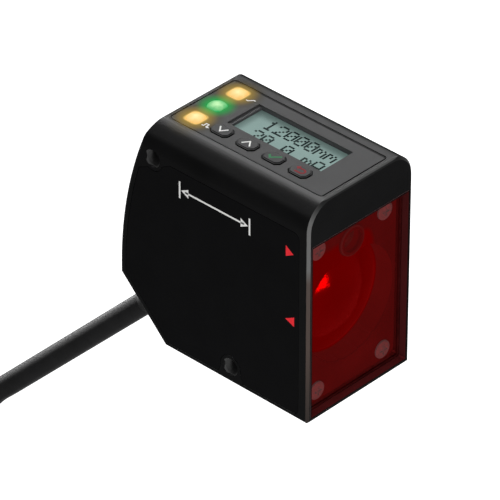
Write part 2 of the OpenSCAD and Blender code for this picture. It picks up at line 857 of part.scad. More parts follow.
// A light pipe: a low dome above the panel, a flange below it and a stem to the light
module light_pipe(x) {
    flange = light_side + 2 * light_flange;
    low = board_top + led_h + 0.1;
    at_panel() translate([x, light_y, 0]) {
        intersection() {
            translate([0, 0, panel_z - eps]) linear_extrude(panel_t + light_rise + eps)
                rounded_box(light_side, light_side, 1.1);
            translate([0, 0, body_h + light_rise - 6.5]) sphere(r = 6.5);
        }
        translate([-flange / 2, -flange / 2, panel_z - flange_t])
            cube([flange, flange, flange_t]);
        translate([-light_stem / 2, -light_stem / 2, low])
            cube([light_stem, light_stem, panel_z - flange_t - low + eps]);
    }
}

module amber_light_pipes() {
    color("#ffc83c") {
        light_pipe(light_spots[0]);
        light_pipe(light_spots[2]);
    }
}

module green_light_pipe() { color("#3cdc6e") light_pipe(light_spots[1]); }

// Optics

// The receiver's opening: a circle with a flat side below the emitter
module trimmed_circle(r, grow) {
    intersection() {
        circle(r + grow);
        translate([-reach / 2, -reach]) square([reach, reach + receiver_trim + grow]);
    }
}

// The moulded block that holds both lenses. Its bore is ribbed along its lower half.
module lens_holder() {
    bore_r = receiver_r;
    tube_r = emitter_d / 2;
    at_mount() color("#5b1416") difference() {
        union() {
            difference() {
                backwards(holder_y, holder_back)
                    translate([0, (holder_low + holder_high) / 2])
                    rounded_box(2 * holder_x, holder_high - holder_low, holder_r);
                difference() {
                    backwards(holder_y - 1, receiver_back_y) translate([0, receiver_h])
                        trimmed_circle(bore_r, lens_gap);
                    for (a = [-57, -77, -103, -123]) translate([0, 0, receiver_h])
                        rotate([0, -a, 0]) translate([bore_r - 0.25, holder_y, -0.5])
                        cube([2, receiver_in - 0.2, 1]);
                }
                backwards(receiver_back_y - eps, holder_back + 1)
                    translate([0, receiver_h]) trimmed_circle(bore_r, -lens_lip);
            }
            rod_y(0, emitter_h, emitter_y, emitter_end, tube_r, tube_r);
        }
        rod_y(0, emitter_h, emitter_y - 1, emitter_y + emitter_seat,
            tube_r - emitter_wall, tube_r - emitter_wall);
        rod_y(0, emitter_h, emitter_y, emitter_end - 1, 2.3, 2.3);
        rod_y(0, emitter_h, emitter_end - 3.2, emitter_end + 1,
            diode_d / 2 + 0.05, diode_d / 2 + 0.05);
        for (s = [-1, 1], z = screw_z)
            rod_y(s * screw_x, z, holder_y - 1, holder_back + 1,
                screw_d / 2 + screw_play, screw_d / 2 + screw_play);
    }
}

// Radius of the ball whose cap has this height on a circle of radius a
function ball_r(a, height) = (a * a + height * height) / (2 * height);

// A cap of a ball that stands on z = 0
module ball_cap(a, height) {
    ball = ball_r(a, height);
    intersection() {
        translate([0, 0, height - ball]) sphere(r = ball, $fn = 180);
        cylinder(h = height + 1, r = a);
    }
}

// Keeps what lies below the lens's flat side
module trimmed(height) {
    intersection() {
        children();
        translate([-reach, 0, receiver_h - reach]) cube([2 * reach, reach, reach + height]);
    }
}

module receiver_lens() {
    r = receiver_r;
    at_mount() color("#b01420", 0.8) {
        trimmed(receiver_trim) translate([0, receiver_back_y, receiver_h])
            rotate([90, 0, 0]) {
            cylinder(h = receiver_rim, r = r);
            translate([0, 0, receiver_rim - eps]) ball_cap(r - 0.5, receiver_dome + eps);
        }
        trimmed(receiver_trim - lens_lip - lens_gap)
            translate([0, receiver_back_y - eps, receiver_h]) rotate([-90, 0, 0])
            ball_cap(r - lens_lip - 0.6, receiver_back + eps);
    }
}

module emitter_lens() {
    r = emitter_lens_d / 2;
    at_mount() color("#c8303c", 0.7)
        translate([0, emitter_y + emitter_seat, emitter_h]) rotate([90, 0, 0]) union() {
            cylinder(h = 1.4, r = min(r, emitter_d / 2 - emitter_wall - 0.05));
            translate([0, 0, 1.4 - eps])
                ball_cap(min(r, emitter_d / 2 - emitter_wall - 0.05) - 0.2, 1);
        }
}

module optics_screws() {
    at_mount() color("#c8c8c8") for (s = [-1, 1], z = screw_z)
        translate([s * screw_x, holder_y, z]) rotate([90, 0, 0])
        cross_screw(screw_d, screw_l, screw_head_d, screw_head_h);
}

module laser_diode() {
    at_mount() color("#c9a94f") translate([0, emitter_end - 1.2, emitter_h])
        rotate([-90, 0, 0]) {
        cylinder(h = 1.2, d = diode_d);
        translate([0, 0, -1.9]) cylinder(h = 1.9 + eps, d = diode_d - 1.2);
        for (a = [90, 210, 330]) rotate([0, 0, a]) translate([1, 0, 1.2 - eps])
            cylinder(h = 2.6, d = 0.45);
    }
}

module laser_board() {
    at_mount() color("#14532d") difference() {
        translate([-laser_board_w / 2, emitter_end, emitter_h - laser_board_drop])
            cube([laser_board_w, small_board_t, laser_board_h]);
        for (a = [90, 210, 330]) translate([0, emitter_end - 1, emitter_h])
            rotate([-90, 0, 0]) rotate([0, 0, a]) translate([1, 0, 0])
            cylinder(h = small_board_t + 2, d = 0.6);
    }
}

// A cone behind the receiver lens, with a flat side below the emitter like the lens
module barrel_cone(inset) {
    intersection() {
        rod_y(0, receiver_h, holder_back - eps * inset, barrel_end + eps * inset,
            receiver_r + barrel_lap - inset, barrel_rear_d / 2 - inset);
        translate([-reach, 0, receiver_h - reach])
            cube([2 * reach, reach, reach + receiver_trim + lens_gap - inset]);
    }
}

module receiver_barrel() {
    at_mount() color("#202022") difference() {
        union() {
            barrel_cone(0);
            rod_y(0, receiver_h, barrel_end - 2, barrel_end,
                barrel_rear_d / 2 + 1.5, barrel_rear_d / 2 + 1.5);
        }
        barrel_cone(barrel_wall);
    }
}

module photodiode() {
    at_mount() color("#2c2438")
        translate([-photodiode_w / 2, barrel_end - photodiode_t, receiver_h - photodiode_h / 2])
        cube([photodiode_w, photodiode_t, photodiode_h]);
}

module detector_board() {
    at_mount() color("#14532d")
        translate([-detector_side / 2, barrel_end, receiver_h - detector_side / 2])
        cube([detector_side, small_board_t, detector_side]);
}

module board_header() {
    at_mount() color("#1c1c1c") translate([-header_w / 2, detector_end, receiver_h + header_t])
        cube([header_w, header_h, header_t]);
}

module main_board() {
    at_mount() color("#14532d") difference() {
        translate([-main_board_x, main_y, main_board_low])
            cube([2 * main_board_x, main_board_t, main_high - main_board_low]);
        for (s = [-1, 1], z = main_screw_z)
            rod_y(s * main_screw_x, z, main_y - 1, main_end + 1,
                main_screw_d / 2 + screw_play, main_screw_d / 2 + screw_play);
    }
}

// Chips and the ribbon's socket on the main board's front
module board_parts() {
    c = chip_side;
    parts = [
        [-1.2, -2, 2.2, 2.2], [2, -1.2, 1.5, 1], [-2.2, 2, 1.2, 1], [2.2, 1.5, 1, 1],
    ];
    at_mount() color("#202024") {
        for (p = parts)
            translate([(p[0] - p[2] / 2) * c, main_y - chip_t, receiver_h + (p[1] - p[3] / 2) * c])
            cube([p[2] * c, chip_t, p[3] * c]);
        translate([-socket_w / 2, main_y - socket_t, ribbon_low]) cube([socket_w, socket_t, socket_h]);
    }
}

module main_board_screws() {
    at_mount() color("silver") for (s = [-1, 1], z = main_screw_z)
        translate([s * main_screw_x, main_y, z]) rotate([90, 0, 0])
        cross_screw(main_screw_d, main_board_t + main_screw_grip, 1.8 * main_screw_d,
            0.6 * main_screw_d);
}

module display_ribbon() {
    low = ribbon_low + socket_h;
    at_mount() color("#c87a2a") translate([-ribbon_w / 2, main_y - socket_t / 2, low])
        cube([ribbon_w, ribbon_t, board_low - low]);
}

// The inner end of the cable runs into this block on the main board's rear
module wire_block() {
    at_mount() color("#e8e8e0")
        translate([-wire_block_w / 2, main_end, main_board_low + wire_block_up])
        cube([wire_block_w, wire_block_t, wire_block_h]);
}

module inner_lead() {
    at_mount() color("#1a1a1a") intersection() {
        on_slope() translate([0, 0, -lead_depth])
            cylinder(h = lead_depth - wall - boot_flange, d = lead_d);
        translate([-reach, main_end + wire_block_t, 0]) cube([2 * reach, reach, reach]);
    }
}

// A tapered sleeve on the cable with grooves that let it bend
module grooved_sleeve(l, r0, r1, pitch) {
    difference() {
        cylinder(h = l, r1 = r0, r2 = r1);
        for (h = [pitch:pitch:l - 0.6 * pitch]) translate([0, 0, h]) difference() {
            cylinder(h = pitch / 3, r = r0 + 1);
            translate([0, 0, -1]) cylinder(h = pitch / 3 + 2, r = r1 - 0.05);
        }
    }
}

// The rubber boot: collar on the slope, neck through the wall, flange inside
module strain_relief() {
    at_mount() color("#161616") on_slope() {
        translate([0, 0, -wall - boot_flange]) cylinder(h = boot_flange, d = boot_d);
        translate([0, 0, -wall - eps]) cylinder(h = wall + 2 * eps, d = boot_hole_d - 0.1);
        cylinder(h = boot_collar, d = boot_d);
        translate([0, 0, boot_collar - eps]) grooved_sleeve(
            boot_l - boot_collar + eps, boot_d / 2 - 0.7, cable_d / 2 + 0.35, boot_pitch);
    }
}

// Cable and plug

// A smooth line through the route: part f of the way from point i to the next
function route_at(i, f) =
    let (
        n = len(cable_route) - 1,
        p0 = cable_route[max(i - 1, 0)], p1 = cable_route[i],
        p2 = cable_route[min(i + 1, n)], p3 = cable_route[min(i + 2, n)]
    )
    0.5 * (2 * p1 + (p2 - p0) * f + (2 * p0 - 5 * p1 + 4 * p2 - p3) * f * f
        + (3 * p1 - p0 - 3 * p2 + p3) * f * f * f);

// The cable stays in one upright plane, so one side of each ring points along X
function ring_at(c, along) =
    let (up = cross([1, 0, 0], along / norm(along)))
    [for (k = [0:cable_sides - 1])
        let (a = 360 * k / cable_sides)
        c + cable_d / 2 * (cos(a) * [1, 0, 0] + sin(a) * up)];

module cable() {
    last = len(cable_route) - 1;
    line = [for (i = [0:last - 1], f = [0:cable_step:1 - cable_step]) route_at(i, f),
        cable_end];
    n = len(line) - 1;
    rings = [for (i = [0:n])
        ring_at(line[i], i == 0 ? [0, 1, -1] : i == n ? [0, 0, -1] : line[i + 1] - line[i - 1])];
    color("#1e1e1e") polyhedron(
        points = [for (ring = rings) each ring],
        faces = [
            [for (k = [0:cable_sides - 1]) k],
            [for (k = [cable_sides - 1:-1:0]) n * cable_sides + k],
            for (i = [0:n - 1], k = [0:cable_sides - 1])
                let (a = i * cable_sides, b = a + cable_sides, j = (k + 1) % cable_sides)
                [a + k, b + k, b + j, a + j],
        ]);
}

// Moulded body: grooved sleeve, grip, neck for the ring and collar that keeps it on
module connector_body() {
    r = plug_d / 2;
    sleeve_l = 0.5 * plug_l;
    at_plug() color("#161616") difference() {
        union() {
            translate([0, 0, -sleeve_l]) grooved_sleeve(
                sleeve_l, r - 0.6, cable_d / 2 + 0.35, 2.4);
            translate([0, 0, -plug_l]) cylinder(h = plug_l - sleeve_l + eps, r = r);
            translate([0, 0, collar_top])
                cylinder(h = -plug_l - collar_top + eps, r = plug_neck_r);
            translate([0, 0, collar_end]) cylinder(h = plug_collar_t + eps, r = plug_collar_r);
        }
        for (a = [0:60:300]) rotate([0, 0, a]) translate([r + 0.5, 0, -plug_l + 1.4])
            cylinder(h = plug_l - sleeve_l - 2.8, r = 1.4, $fn = 32);
    }
}

// The ring turns on the plug's neck. Its lip is held by the collar.
module coupling_ring() {
    r = ring_d / 2;
    at_plug() color("#b9b6ae") difference() {
        union() {
            translate([0, 0, ring_top - ring_l]) cylinder(h = ring_l, r = r);
            translate([0, 0, ring_end]) cylinder(h = thread_l + eps, d = thread_d);
        }
        translate([0, 0, ring_end - 1]) cylinder(
            h = collar_top + ring_play - ring_end + 1, r = plug_collar_r + ring_play);
        translate([0, 0, ring_end])
            cylinder(h = ring_l + thread_l + 1, r = plug_neck_r + ring_play);
        for (i = [0:ring_flutes - 1]) rotate([0, 0, 360 * i / ring_flutes])
            translate([r + 0.35, 0, ring_top - ring_l + 1])
            cylinder(h = ring_l, r = 0.75, $fn = 24);
    }
}

function pin_spots() =
    [[0, 0], for (a = [45:90:315]) pin_circle_r * heading(a)];

// The round insert below the collar: its well is open downwards
module contact_insert() {
    at_plug() color("#101010") difference() {
        translate([0, 0, insert_end]) cylinder(h = collar_end - insert_end, r = plug_collar_r - 0.1);
        translate([0, 0, insert_end - 1]) cylinder(h = well_l + 1, d = well_d);
        for (p = pin_spots()) translate([p[0], p[1], insert_end])
            cylinder(h = well_l + pin_root, r = pin_r + 0.02, $fn = 24);
    }
}

module contact_pins() {
    at_plug() color("#d8b24a") for (p = pin_spots())
        translate([p[0], p[1], insert_end + pin_back])
        cylinder(h = well_l + pin_root - pin_back, r = pin_r, $fn = 24);
}

housing();
window();
window_gasket();
side_label();
top_panel();
display_window();
lcd_glass();
lcd_frame();
display_board();
display_screws();
switch_cases();
led_chips();
down_key();
up_key();
enter_key();
back_key();
down_plunger();
up_plunger();
enter_plunger();
back_plunger();
amber_light_pipes();
green_light_pipe();
lens_holder();
receiver_lens();
emitter_lens();
optics_screws();
laser_diode();
laser_board();
receiver_barrel();
photodiode();
detector_board();
board_header();
main_board();
board_parts();
main_board_screws();
display_ribbon();
wire_block();
inner_lead();
strain_relief();
cable();
connector_body();
coupling_ring();
contact_insert();
contact_pins();
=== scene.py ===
"""Laser distance sensor: looks, camera and light over the fixed construction model. Lengths are in metres, unless
they are said to be in millimetres, and colours are linear."""

import math

import bmesh
import bpy
import numpy as np
from mathutils import Matrix, Vector


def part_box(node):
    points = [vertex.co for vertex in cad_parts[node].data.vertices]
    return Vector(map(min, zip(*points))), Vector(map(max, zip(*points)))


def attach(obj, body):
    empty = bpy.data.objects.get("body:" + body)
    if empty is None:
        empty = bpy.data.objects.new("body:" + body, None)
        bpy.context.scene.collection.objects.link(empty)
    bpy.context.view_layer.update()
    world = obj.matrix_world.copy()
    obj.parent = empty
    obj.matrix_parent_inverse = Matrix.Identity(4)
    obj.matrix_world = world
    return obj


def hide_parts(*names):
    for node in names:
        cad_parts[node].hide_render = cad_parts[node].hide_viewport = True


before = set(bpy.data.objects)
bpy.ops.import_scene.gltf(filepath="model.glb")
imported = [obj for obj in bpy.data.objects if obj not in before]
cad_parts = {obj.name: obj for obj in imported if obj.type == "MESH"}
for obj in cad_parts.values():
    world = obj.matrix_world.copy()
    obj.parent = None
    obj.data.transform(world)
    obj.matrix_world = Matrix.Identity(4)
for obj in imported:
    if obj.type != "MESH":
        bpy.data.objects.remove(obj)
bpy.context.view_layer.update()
MM = 0.001


# The camera: a long lens from the front left, above

def photo_camera():
    """A camera at the photograph's viewing point, looking along its axis, with the photograph's field of view."""
    lens = bpy.data.cameras.new("photo_camera")
    lens.sensor_width = 36
    lens.lens = 350.28
    camera = bpy.data.objects.new("photo_camera", lens)
    camera.location = (-0.7704, -0.7206, 0.7530)
    camera.rotation_euler = Vector((0.5972, 0.5677, -0.5666)).to_track_quat("-Z", "Y").to_euler()
    bpy.context.collection.objects.link(camera)
    bpy.context.scene.camera = camera


photo_camera()


# Meshes

SAME_POINT = 2e-6
FLAT_DEGREES = 0.15


def box_of(node):
    """The lowest and highest corner of a construction solid, as the rows of an array."""
    return np.array([tuple(corner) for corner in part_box(node)])


def middle(node):
    """The middle of a construction solid's box."""
    return box_of(node).mean(axis=0)


def shade(mesh, degrees):
    """Smooth shading, with sharp edges where two faces turn by more than an angle."""
    mesh.shade_smooth()
    mesh.set_sharp_from_angle(angle=math.radians(degrees))


def put_in(name, mesh, body, look):
    """A mesh with its finish, as a piece that rides on a body."""
    mesh.materials.clear()
    mesh.materials.append(look)
    piece = bpy.data.objects.new(name, mesh)
    bpy.context.collection.objects.link(piece)
    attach(piece, body)
    return piece


def mesh_piece(name, points, faces, body, slot, look):
    """A piece from an array of points and a list of faces."""
    mesh = bpy.data.meshes.new(name)
    mesh.from_pydata(np.asarray(points).tolist(), [], [tuple(face) for face in faces])
    mesh.validate()
    shade(mesh, degrees=35)
    return put_in(name, mesh, body, look)


def grid_faces(rows, columns):
    """Quads between the rows of a grid of points, whose last column meets the first."""
    i, j = np.meshgrid(np.arange(rows - 1), np.arange(columns), indexing="ij")
    k = (j + 1) % columns
    quads = np.stack([i * columns + j, i * columns + k, (i + 1) * columns + k, (i + 1) * columns + j], -1)
    return quads.reshape(-1, 4).tolist()


def dressed(node, body, look, edge=0.12, angle=38):
    """A smooth copy of a construction solid: its points are merged, its flat facets joined, and its edges rounded
    a little. edge is the rounding's width in millimetres, and angle the least turn that makes an edge."""
    name = node + "_finished"
    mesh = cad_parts[node].data.copy()
    mesh.name = name
    form = bmesh.new()
    form.from_mesh(mesh)
    bmesh.ops.remove_doubles(form, verts=form.verts, dist=SAME_POINT)
    bmesh.ops.dissolve_limit(form, angle_limit=math.radians(FLAT_DEGREES), verts=form.verts, edges=form.edges)
    form.to_mesh(mesh)
    form.free()
    stale = mesh.attributes.get("custom_normal")
    if stale is not None:
        mesh.attributes.remove(stale)
    shade(mesh, degrees=angle)
    piece = put_in(name, mesh, body, look)
    if edge:
        round_off = piece.modifiers.new("rounded edges", "BEVEL")
        round_off.width = edge * MM
        round_off.segments = 2
        round_off.limit_method = "ANGLE"
        round_off.angle_limit = math.radians(angle)
        round_off.miter_outer = "MITER_ARC"
    even = piece.modifiers.new("flat faces stay flat", "WEIGHTED_NORMAL")
    even.keep_sharp = True
    even.weight = 100
    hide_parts(node)
    return piece


# Nodes of the finishes

NOISE_LOW, NOISE_HIGH = 0.3, 0.7  # most of a noise lies between these
GLOSS_SPREAD = 0.12  # how unevenly a finish shines
BUMP_HEIGHT = 0.2  # of a bump's size


def add(tree, kind, inputs=None, **settings):
    """A node with its settings. An input that is a socket is linked, and any other is written on the node."""
    node = tree.nodes.new(kind)
    for key, value in settings.items():
        setattr(node, key, value)
    for key, value in (inputs or {}).items():
        if isinstance(key, int):
            socket = node.inputs[key]
        else:
            socket = next(s for s in node.inputs if s.name == key and s.enabled)
        if isinstance(value, bpy.types.NodeSocket):
            tree.links.new(value, socket)
        else:
            socket.default_value = value
    return node


def place_on(tree):
    """Where a point of the surface lies, in Object coordinates."""
    return add(tree, "ShaderNodeTexCoord").outputs["Object"]


def parts_of(tree, vector):
    """The X, Y and Z of a vector."""
    return add(tree, "ShaderNodeSeparateXYZ", {0: vector}).outputs


def facing(tree):
    """The X, Y and Z of the direction that the surface faces."""
    return parts_of(tree, add(tree, "ShaderNodeTexCoord").outputs["Normal"])


def of_vectors(tree, operation, *values):
    """A vector operation. It gives a number where it measures, and a vector elsewhere."""
    sockets = (0, "Scale") if operation == "SCALE" else (0, 1)
    values = [tuple(value) if isinstance(value, np.ndarray) else value for value in values]
    node = add(tree, "ShaderNodeVectorMath", dict(zip(sockets, values)), operation=operation)
    return node.outputs["Value" if operation in ("DISTANCE", "DOT_PRODUCT") else "Vector"]


def of_numbers(tree, operation, first, *others):
    """An operation on numbers, carried along the row of them."""
    for other in others:
        first = add(tree, "ShaderNodeMath", {0: first, 1: other}, operation=operation).outputs[0]
    return first


def largest(tree, *values):
    """The largest of some values."""
    return of_numbers(tree, "MAXIMUM", *values)


def product(tree, *values):
    """The product of some values."""
    return of_numbers(tree, "MULTIPLY", *values)


def unsigned(tree, value):
    """A value without its sign."""
    return add(tree, "ShaderNodeMath", {0: value}, operation="ABSOLUTE").outputs[0]


def ranged(tree, value, from_low, from_high, low, high, smooth=False):
    """A value carried from one range to another, and held at its ends."""
    node = add(tree, "ShaderNodeMapRange", {"Value": value, "From Min": from_low, "From Max": from_high,
        "To Min": low, "To Max": high})
    node.interpolation_type = "SMOOTHSTEP" if smooth else "LINEAR"
    return node.outputs["Result"]


def rising(tree, value, low, high, smooth=False):
    """A share that rises from 0 to 1 as a value goes from low to high."""
    return ranged(tree, value, low, high, 0.0, 1.0, smooth)


def falling(tree, value, low, high, smooth=False):
    """A share that falls from 1 to 0 as a value goes from low to high."""
    return ranged(tree, value, low, high, 1.0, 0.0, smooth)


def noise(tree, size, detail=2.0):
    """Noise whose blobs have about this size in millimetres."""
    k = 1 / (size * MM)
    spot = add(tree, "ShaderNodeMapping", {"Vector": place_on(tree), "Scale": (k, k, k)}).outputs[0]
    return add(tree, "ShaderNodeTexNoise", {"Vector": spot, "Scale": 1.0, "Detail": detail}).outputs["Fac"]


def ramp(tree, fac, *stops):
    """A colour ramp from (place, colour) stops."""
    node = add(tree, "ShaderNodeValToRGB", {"Fac": fac})
    while len(node.color_ramp.elements) < len(stops):
        node.color_ramp.elements.new(0.5)
    for element, (place, colour) in zip(node.color_ramp.elements, stops):
        element.position = place
        element.color = (*colour, 1)
    return node.outputs["Color"]


def scaled(colour, factor):
    """A colour times a number."""
    return tuple(channel * factor for channel in colour)


def cloudy(tree, colour, size, strength, detail=2.0):
    """A colour that clouds make darker and lighter by up to a share. Their size is in millimetres."""
    return ramp(tree, noise(tree, size, detail),
        (NOISE_LOW, scaled(colour, 1 - strength)), (NOISE_HIGH, scaled(colour, 1 + strength)))


def blended(tree, share, under, over):
    """One colour laid over another by a share."""
    under, over = (colour if isinstance(colour, bpy.types.NodeSocket) else (*colour, 1) for colour in (under, over))
    node = add(tree, "ShaderNodeMix", {"Factor": share, "A": under, "B": over}, data_type="RGBA")
    return next(socket for socket in node.outputs if socket.enabled)


def light_of(tree, colour, share):
    """Light of a colour, by a share."""
    return of_vectors(tree, "SCALE", colour, share)


def sum_of(tree, first, *others):
    """The sum of some lights."""
    for other in others:
        first = of_vectors(tree, "ADD", first, other)
    return first


def from_axis(tree, x, z):
    """The distance to a line that runs from front to back through x and z."""
    return of_vectors(tree, "DISTANCE", of_vectors(tree, "MULTIPLY", place_on(tree), (1, 0, 1)), (x, 0, z))


def round_spot(tree, centre, near, far, square=False):
    """A share that falls from 1 to 0 between two distances in millimetres round a centre. For a square with round
    corners, the distance is the fourth root of the sum of the offsets' fourth powers."""
    off = of_vectors(tree, "SCALE", of_vectors(tree, "SUBTRACT", place_on(tree), centre), 1 / MM)
    if square:
        off = of_vectors(tree, "MULTIPLY", off, off)
    away = of_numbers(tree, "POWER", of_vectors(tree, "DOT_PRODUCT", off, off), 0.25 if square else 0.5)
    return falling(tree, away, near, far, smooth=True)


def rim_share(tree, node, axes, width, far_width=None, near_share=1.0):
    """1 on a thin line along a solid's edge: inside a box of half sizes h, the distance to the edge is the smallest
    of h - |p|, and the line lies where that is less than its width. The far side, at high x, may have its own width,
    and the near side, at low x, a fainter line. Widths are in millimetres."""
    low, high = box_of(node)
    half = (high - low) / 2
    off = of_vectors(tree, "SUBTRACT", place_on(tree), (low + high) / 2)
    along = parts_of(tree, off)["X"]
    left = parts_of(tree, of_vectors(tree, "SUBTRACT", half, of_vectors(tree, "ABSOLUTE", off)))
    edge = of_numbers(tree, "MINIMUM", *(left[axis] for axis in axes))
    share = falling(tree, edge, width * 0.8 * MM, width * 1.2 * MM)
    if near_share < 1:
        line = half[0] - width * MM
        share = product(tree, share, ranged(tree, along, -line - 0.3 * MM, -line + 0.3 * MM, near_share, 1.0))
    if far_width:
        line = half[0] - far_width * MM
        share = largest(tree, share, rising(tree, along, line - 0.05 * MM, line + 0.05 * MM))
    return share


# Finishes, and what is laid over them

BLACK_INK = (0.004, 0.004, 0.004)


def shader_of(material):
    """The main shader of a material."""
    return material.node_tree.nodes["Principled BSDF"]


def finish(name, colour, rough, mottle, grain, ior=1.45, metal=0.0, gleam=(1, 1, 1)):
    """A finish with cloudy colour, uneven gloss and a fine grain. mottle is the clouds' size in millimetres and
    strength, grain is the bumps' size and strength, and gleam is the tint of the gloss."""
    material = bpy.data.materials.new(name)
    material.use_nodes = True
    tree = material.node_tree
    shader = shader_of(material)
    size, strength = mottle
    tree.links.new(cloudy(tree, colour, size, strength, detail=3), shader.inputs["Base Color"])
    size, strength = grain
    fine = noise(tree, size)
    uneven = ranged(tree, fine, NOISE_LOW, NOISE_HIGH, rough * (1 - GLOSS_SPREAD), rough * (1 + GLOSS_SPREAD))
    tree.links.new(uneven, shader.inputs["Roughness"])
    bump = add(tree, "ShaderNodeBump",
        {"Height": fine, "Strength": strength, "Distance": BUMP_HEIGHT * size * MM})
    tree.links.new(bump.outputs["Normal"], shader.inputs["Normal"])
    shader.inputs["IOR"].default_value = ior
    shader.inputs["Metallic"].default_value = metal
    shader.inputs["Specular Tint"].default_value = (*gleam, 1)
    return material


def lay_over(material, share, colour):
    """Lays a colour over a finish's own, by a share."""
    base = shader_of(material).inputs["Base Color"]
    material.node_tree.links.new(blended(material.node_tree, share, base.links[0].from_socket, colour), base)


def give_light(material, light, strength=1.0):
    """Makes a finish give off light."""
    shader = shader_of(material)
    material.node_tree.links.new(light, shader.inputs["Emission Color"])
    shader.inputs["Emission Strength"].default_value = strength


def own_light(material):
    """The light that a finish gives off so far."""
    return shader_of(material).inputs["Emission Color"].links[0].from_socket


LIGHT_INSET = 2.7 * MM  # from an end of the amber pair to the middle of the light pipe there
LIGHT_DROP = (0, 0, -0.6 * MM)  # from a dome's top to the centre of its halo
(low_x, _, _), (high_x, _, light_z) = box_of("amber_light_pipes")
green_x, light_y, _ = middle("green_light_pipe")
AMBER = [np.array([x, light_y, light_z]) for x in (low_x + LIGHT_INSET, high_x - LIGHT_INSET)]
GREEN = [np.array([green_x, light_y, light_z])]
# Painted glow round the indicators, given off by the surface itself
HALOS = [  # centres, distances in millimetres between which a halo fades, whether it is square, and its light
    (AMBER, (2.3, 3.05), True, (0.62, 0.40, 0.13)),
    (AMBER, (2.2, 6.6), False, (0.25, 0.155, 0.010)),
    (GREEN, (2.0, 6.2), False, (0.0, 0.31, 0.045)),
]
# Painted tint of that glow, laid over the surface's colour
HALO_TINTS = [  # centres, distances, the colour's greatest share, and the colour
    (AMBER, (3.2, 8.6), 0.8, (0.048, 0.034, 0.003)),
    (GREEN, (3.0, 6.2), 0.95, (0.001, 0.010, 0.003)),
]


def lit_by_indicators(material, strength=1.0):
    """A painted glow of the three indicators on a surface round them, and their painted colour in it."""
    tree = material.node_tree
    give_light(material, sum_of(tree, *(
        light_of(tree, light, round_spot(tree, centre + LIGHT_DROP, *fades, square))
        for centres, fades, square, light in HALOS for centre in centres)), strength)
    for centres, fades, share, colour in HALO_TINTS:
        spots = [product(tree, round_spot(tree, centre + LIGHT_DROP, *fades), share) for centre in centres]
        lay_over(material, largest(tree, *spots), colour)
    return material


def painted_light_inside(material, low, high, colour):
    """Painted light on inner surfaces, where little light reaches: a lighter colour inside a box, whose lowest and
    highest corner are in millimetres."""
    tree = material.node_tree
    low, high = np.array(low), np.array(high)
    off = of_vectors(tree, "SUBTRACT", place_on(tree), (low + high) / 2 * MM)
    off = parts_of(tree, of_vectors(tree, "ABSOLUTE", off))
    inside = [of_numbers(tree, "LESS_THAN", off[axis], reach) for axis, reach in zip("XYZ", (high - low) / 2 * MM)]
    lay_over(material, product(tree, *inside), colour)


def painted_glow(material, colour, cloud_size):
    """Painted glow: a part behind the window gives off light evenly, slightly cloudy, as if lit from all round."""
    give_light(material, cloudy(material.node_tree, colour, cloud_size, 0.05))
    return material


def bore_and_rim_light(material):
    """More painted glow on the walls behind the holder's face, and a painted highlight line round the emitter's mouth:
    the line lies where the distance to the emitter's axis is near the mouth's outer radius."""
    tree = material.node_tree
    x, _, z = middle("emitter_lens")
    away = from_axis(tree, x, z)
    depth = parts_of(tree, place_on(tree))["Y"]
    tube_stands_out = 0.8 * MM
    face = box_of("lens_holder")[0][1] + tube_stands_out
    behind = rising(tree, depth, face + 0.1 * MM, face + 0.5 * MM)
    rim = product(tree, rising(tree, away, 3.95 * MM, 4.2 * MM), falling(tree, away, 4.4 * MM, 4.6 * MM),
        falling(tree, depth, face - 0.5 * MM, face - 0.2 * MM))
    give_light(material, sum_of(tree, own_light(material),
        light_of(tree, (0.030, 0.001, 0.001), behind), light_of(tree, (0.018, 0.026, 0.024), rim)))
    return material


def red_round_the_bore(material):
    """The lens's deeper red, as colour and painted glow, on the holder's face above the bore: between two levels, and
    at the far end inside a circle, but not on the emitter's tube."""
    tree = material.node_tree
    x, _, z = middle("emitter_lens")
    place = parts_of(tree, place_on(tree))
    far_end = falling(tree, from_axis(tree, 1.0 * MM, 37.3 * MM), 7.0 * MM, 8.4 * MM)
    across = largest(tree, falling(tree, place["X"], 0.9 * MM, 1.1 * MM), far_end)
    share = product(tree, across, falling(tree, place["Z"], 42.2 * MM, 43.8 * MM),
        rising(tree, place["Z"], 21.0 * MM, 22.0 * MM), rising(tree, from_axis(tree, x, z), 4.5 * MM, 4.7 * MM))
    give_light(material, blended(tree, share, own_light(material), (0.150, 0.0003, 0.0008)))
    lay_over(material, share, LENS_RED)
    return material


def painted_top_sheen(material, colour):
    """Painted sheen: black plastic turns to the panel's grey where it faces upwards, over the first part of the
    shoulder.
    The right shoulder is duller than the left."""
    tree = material.node_tree
    turned = facing(tree)
    lay_over(material, rising(tree, turned["Z"], 0.90, 0.985, smooth=True), cloudy(tree, colour, 12, 0.05))
    duller = product(tree, ranged(tree, turned["X"], 0.30, 0.50, 0.0, 0.95), falling(tree, turned["X"], 0.90, 0.99))
    roughness = shader_of(material).inputs["Roughness"]
    tree.links.new(largest(tree, roughness.links[0].from_socket, duller), roughness)


def painted_shade_on_sides(material):
    """Painted shade: a key's sides, which don't face upwards, are black."""
    lay_over(material, falling(material.node_tree, facing(material.node_tree)["Z"], 0.35, 0.75), BLACK_INK)
    return material


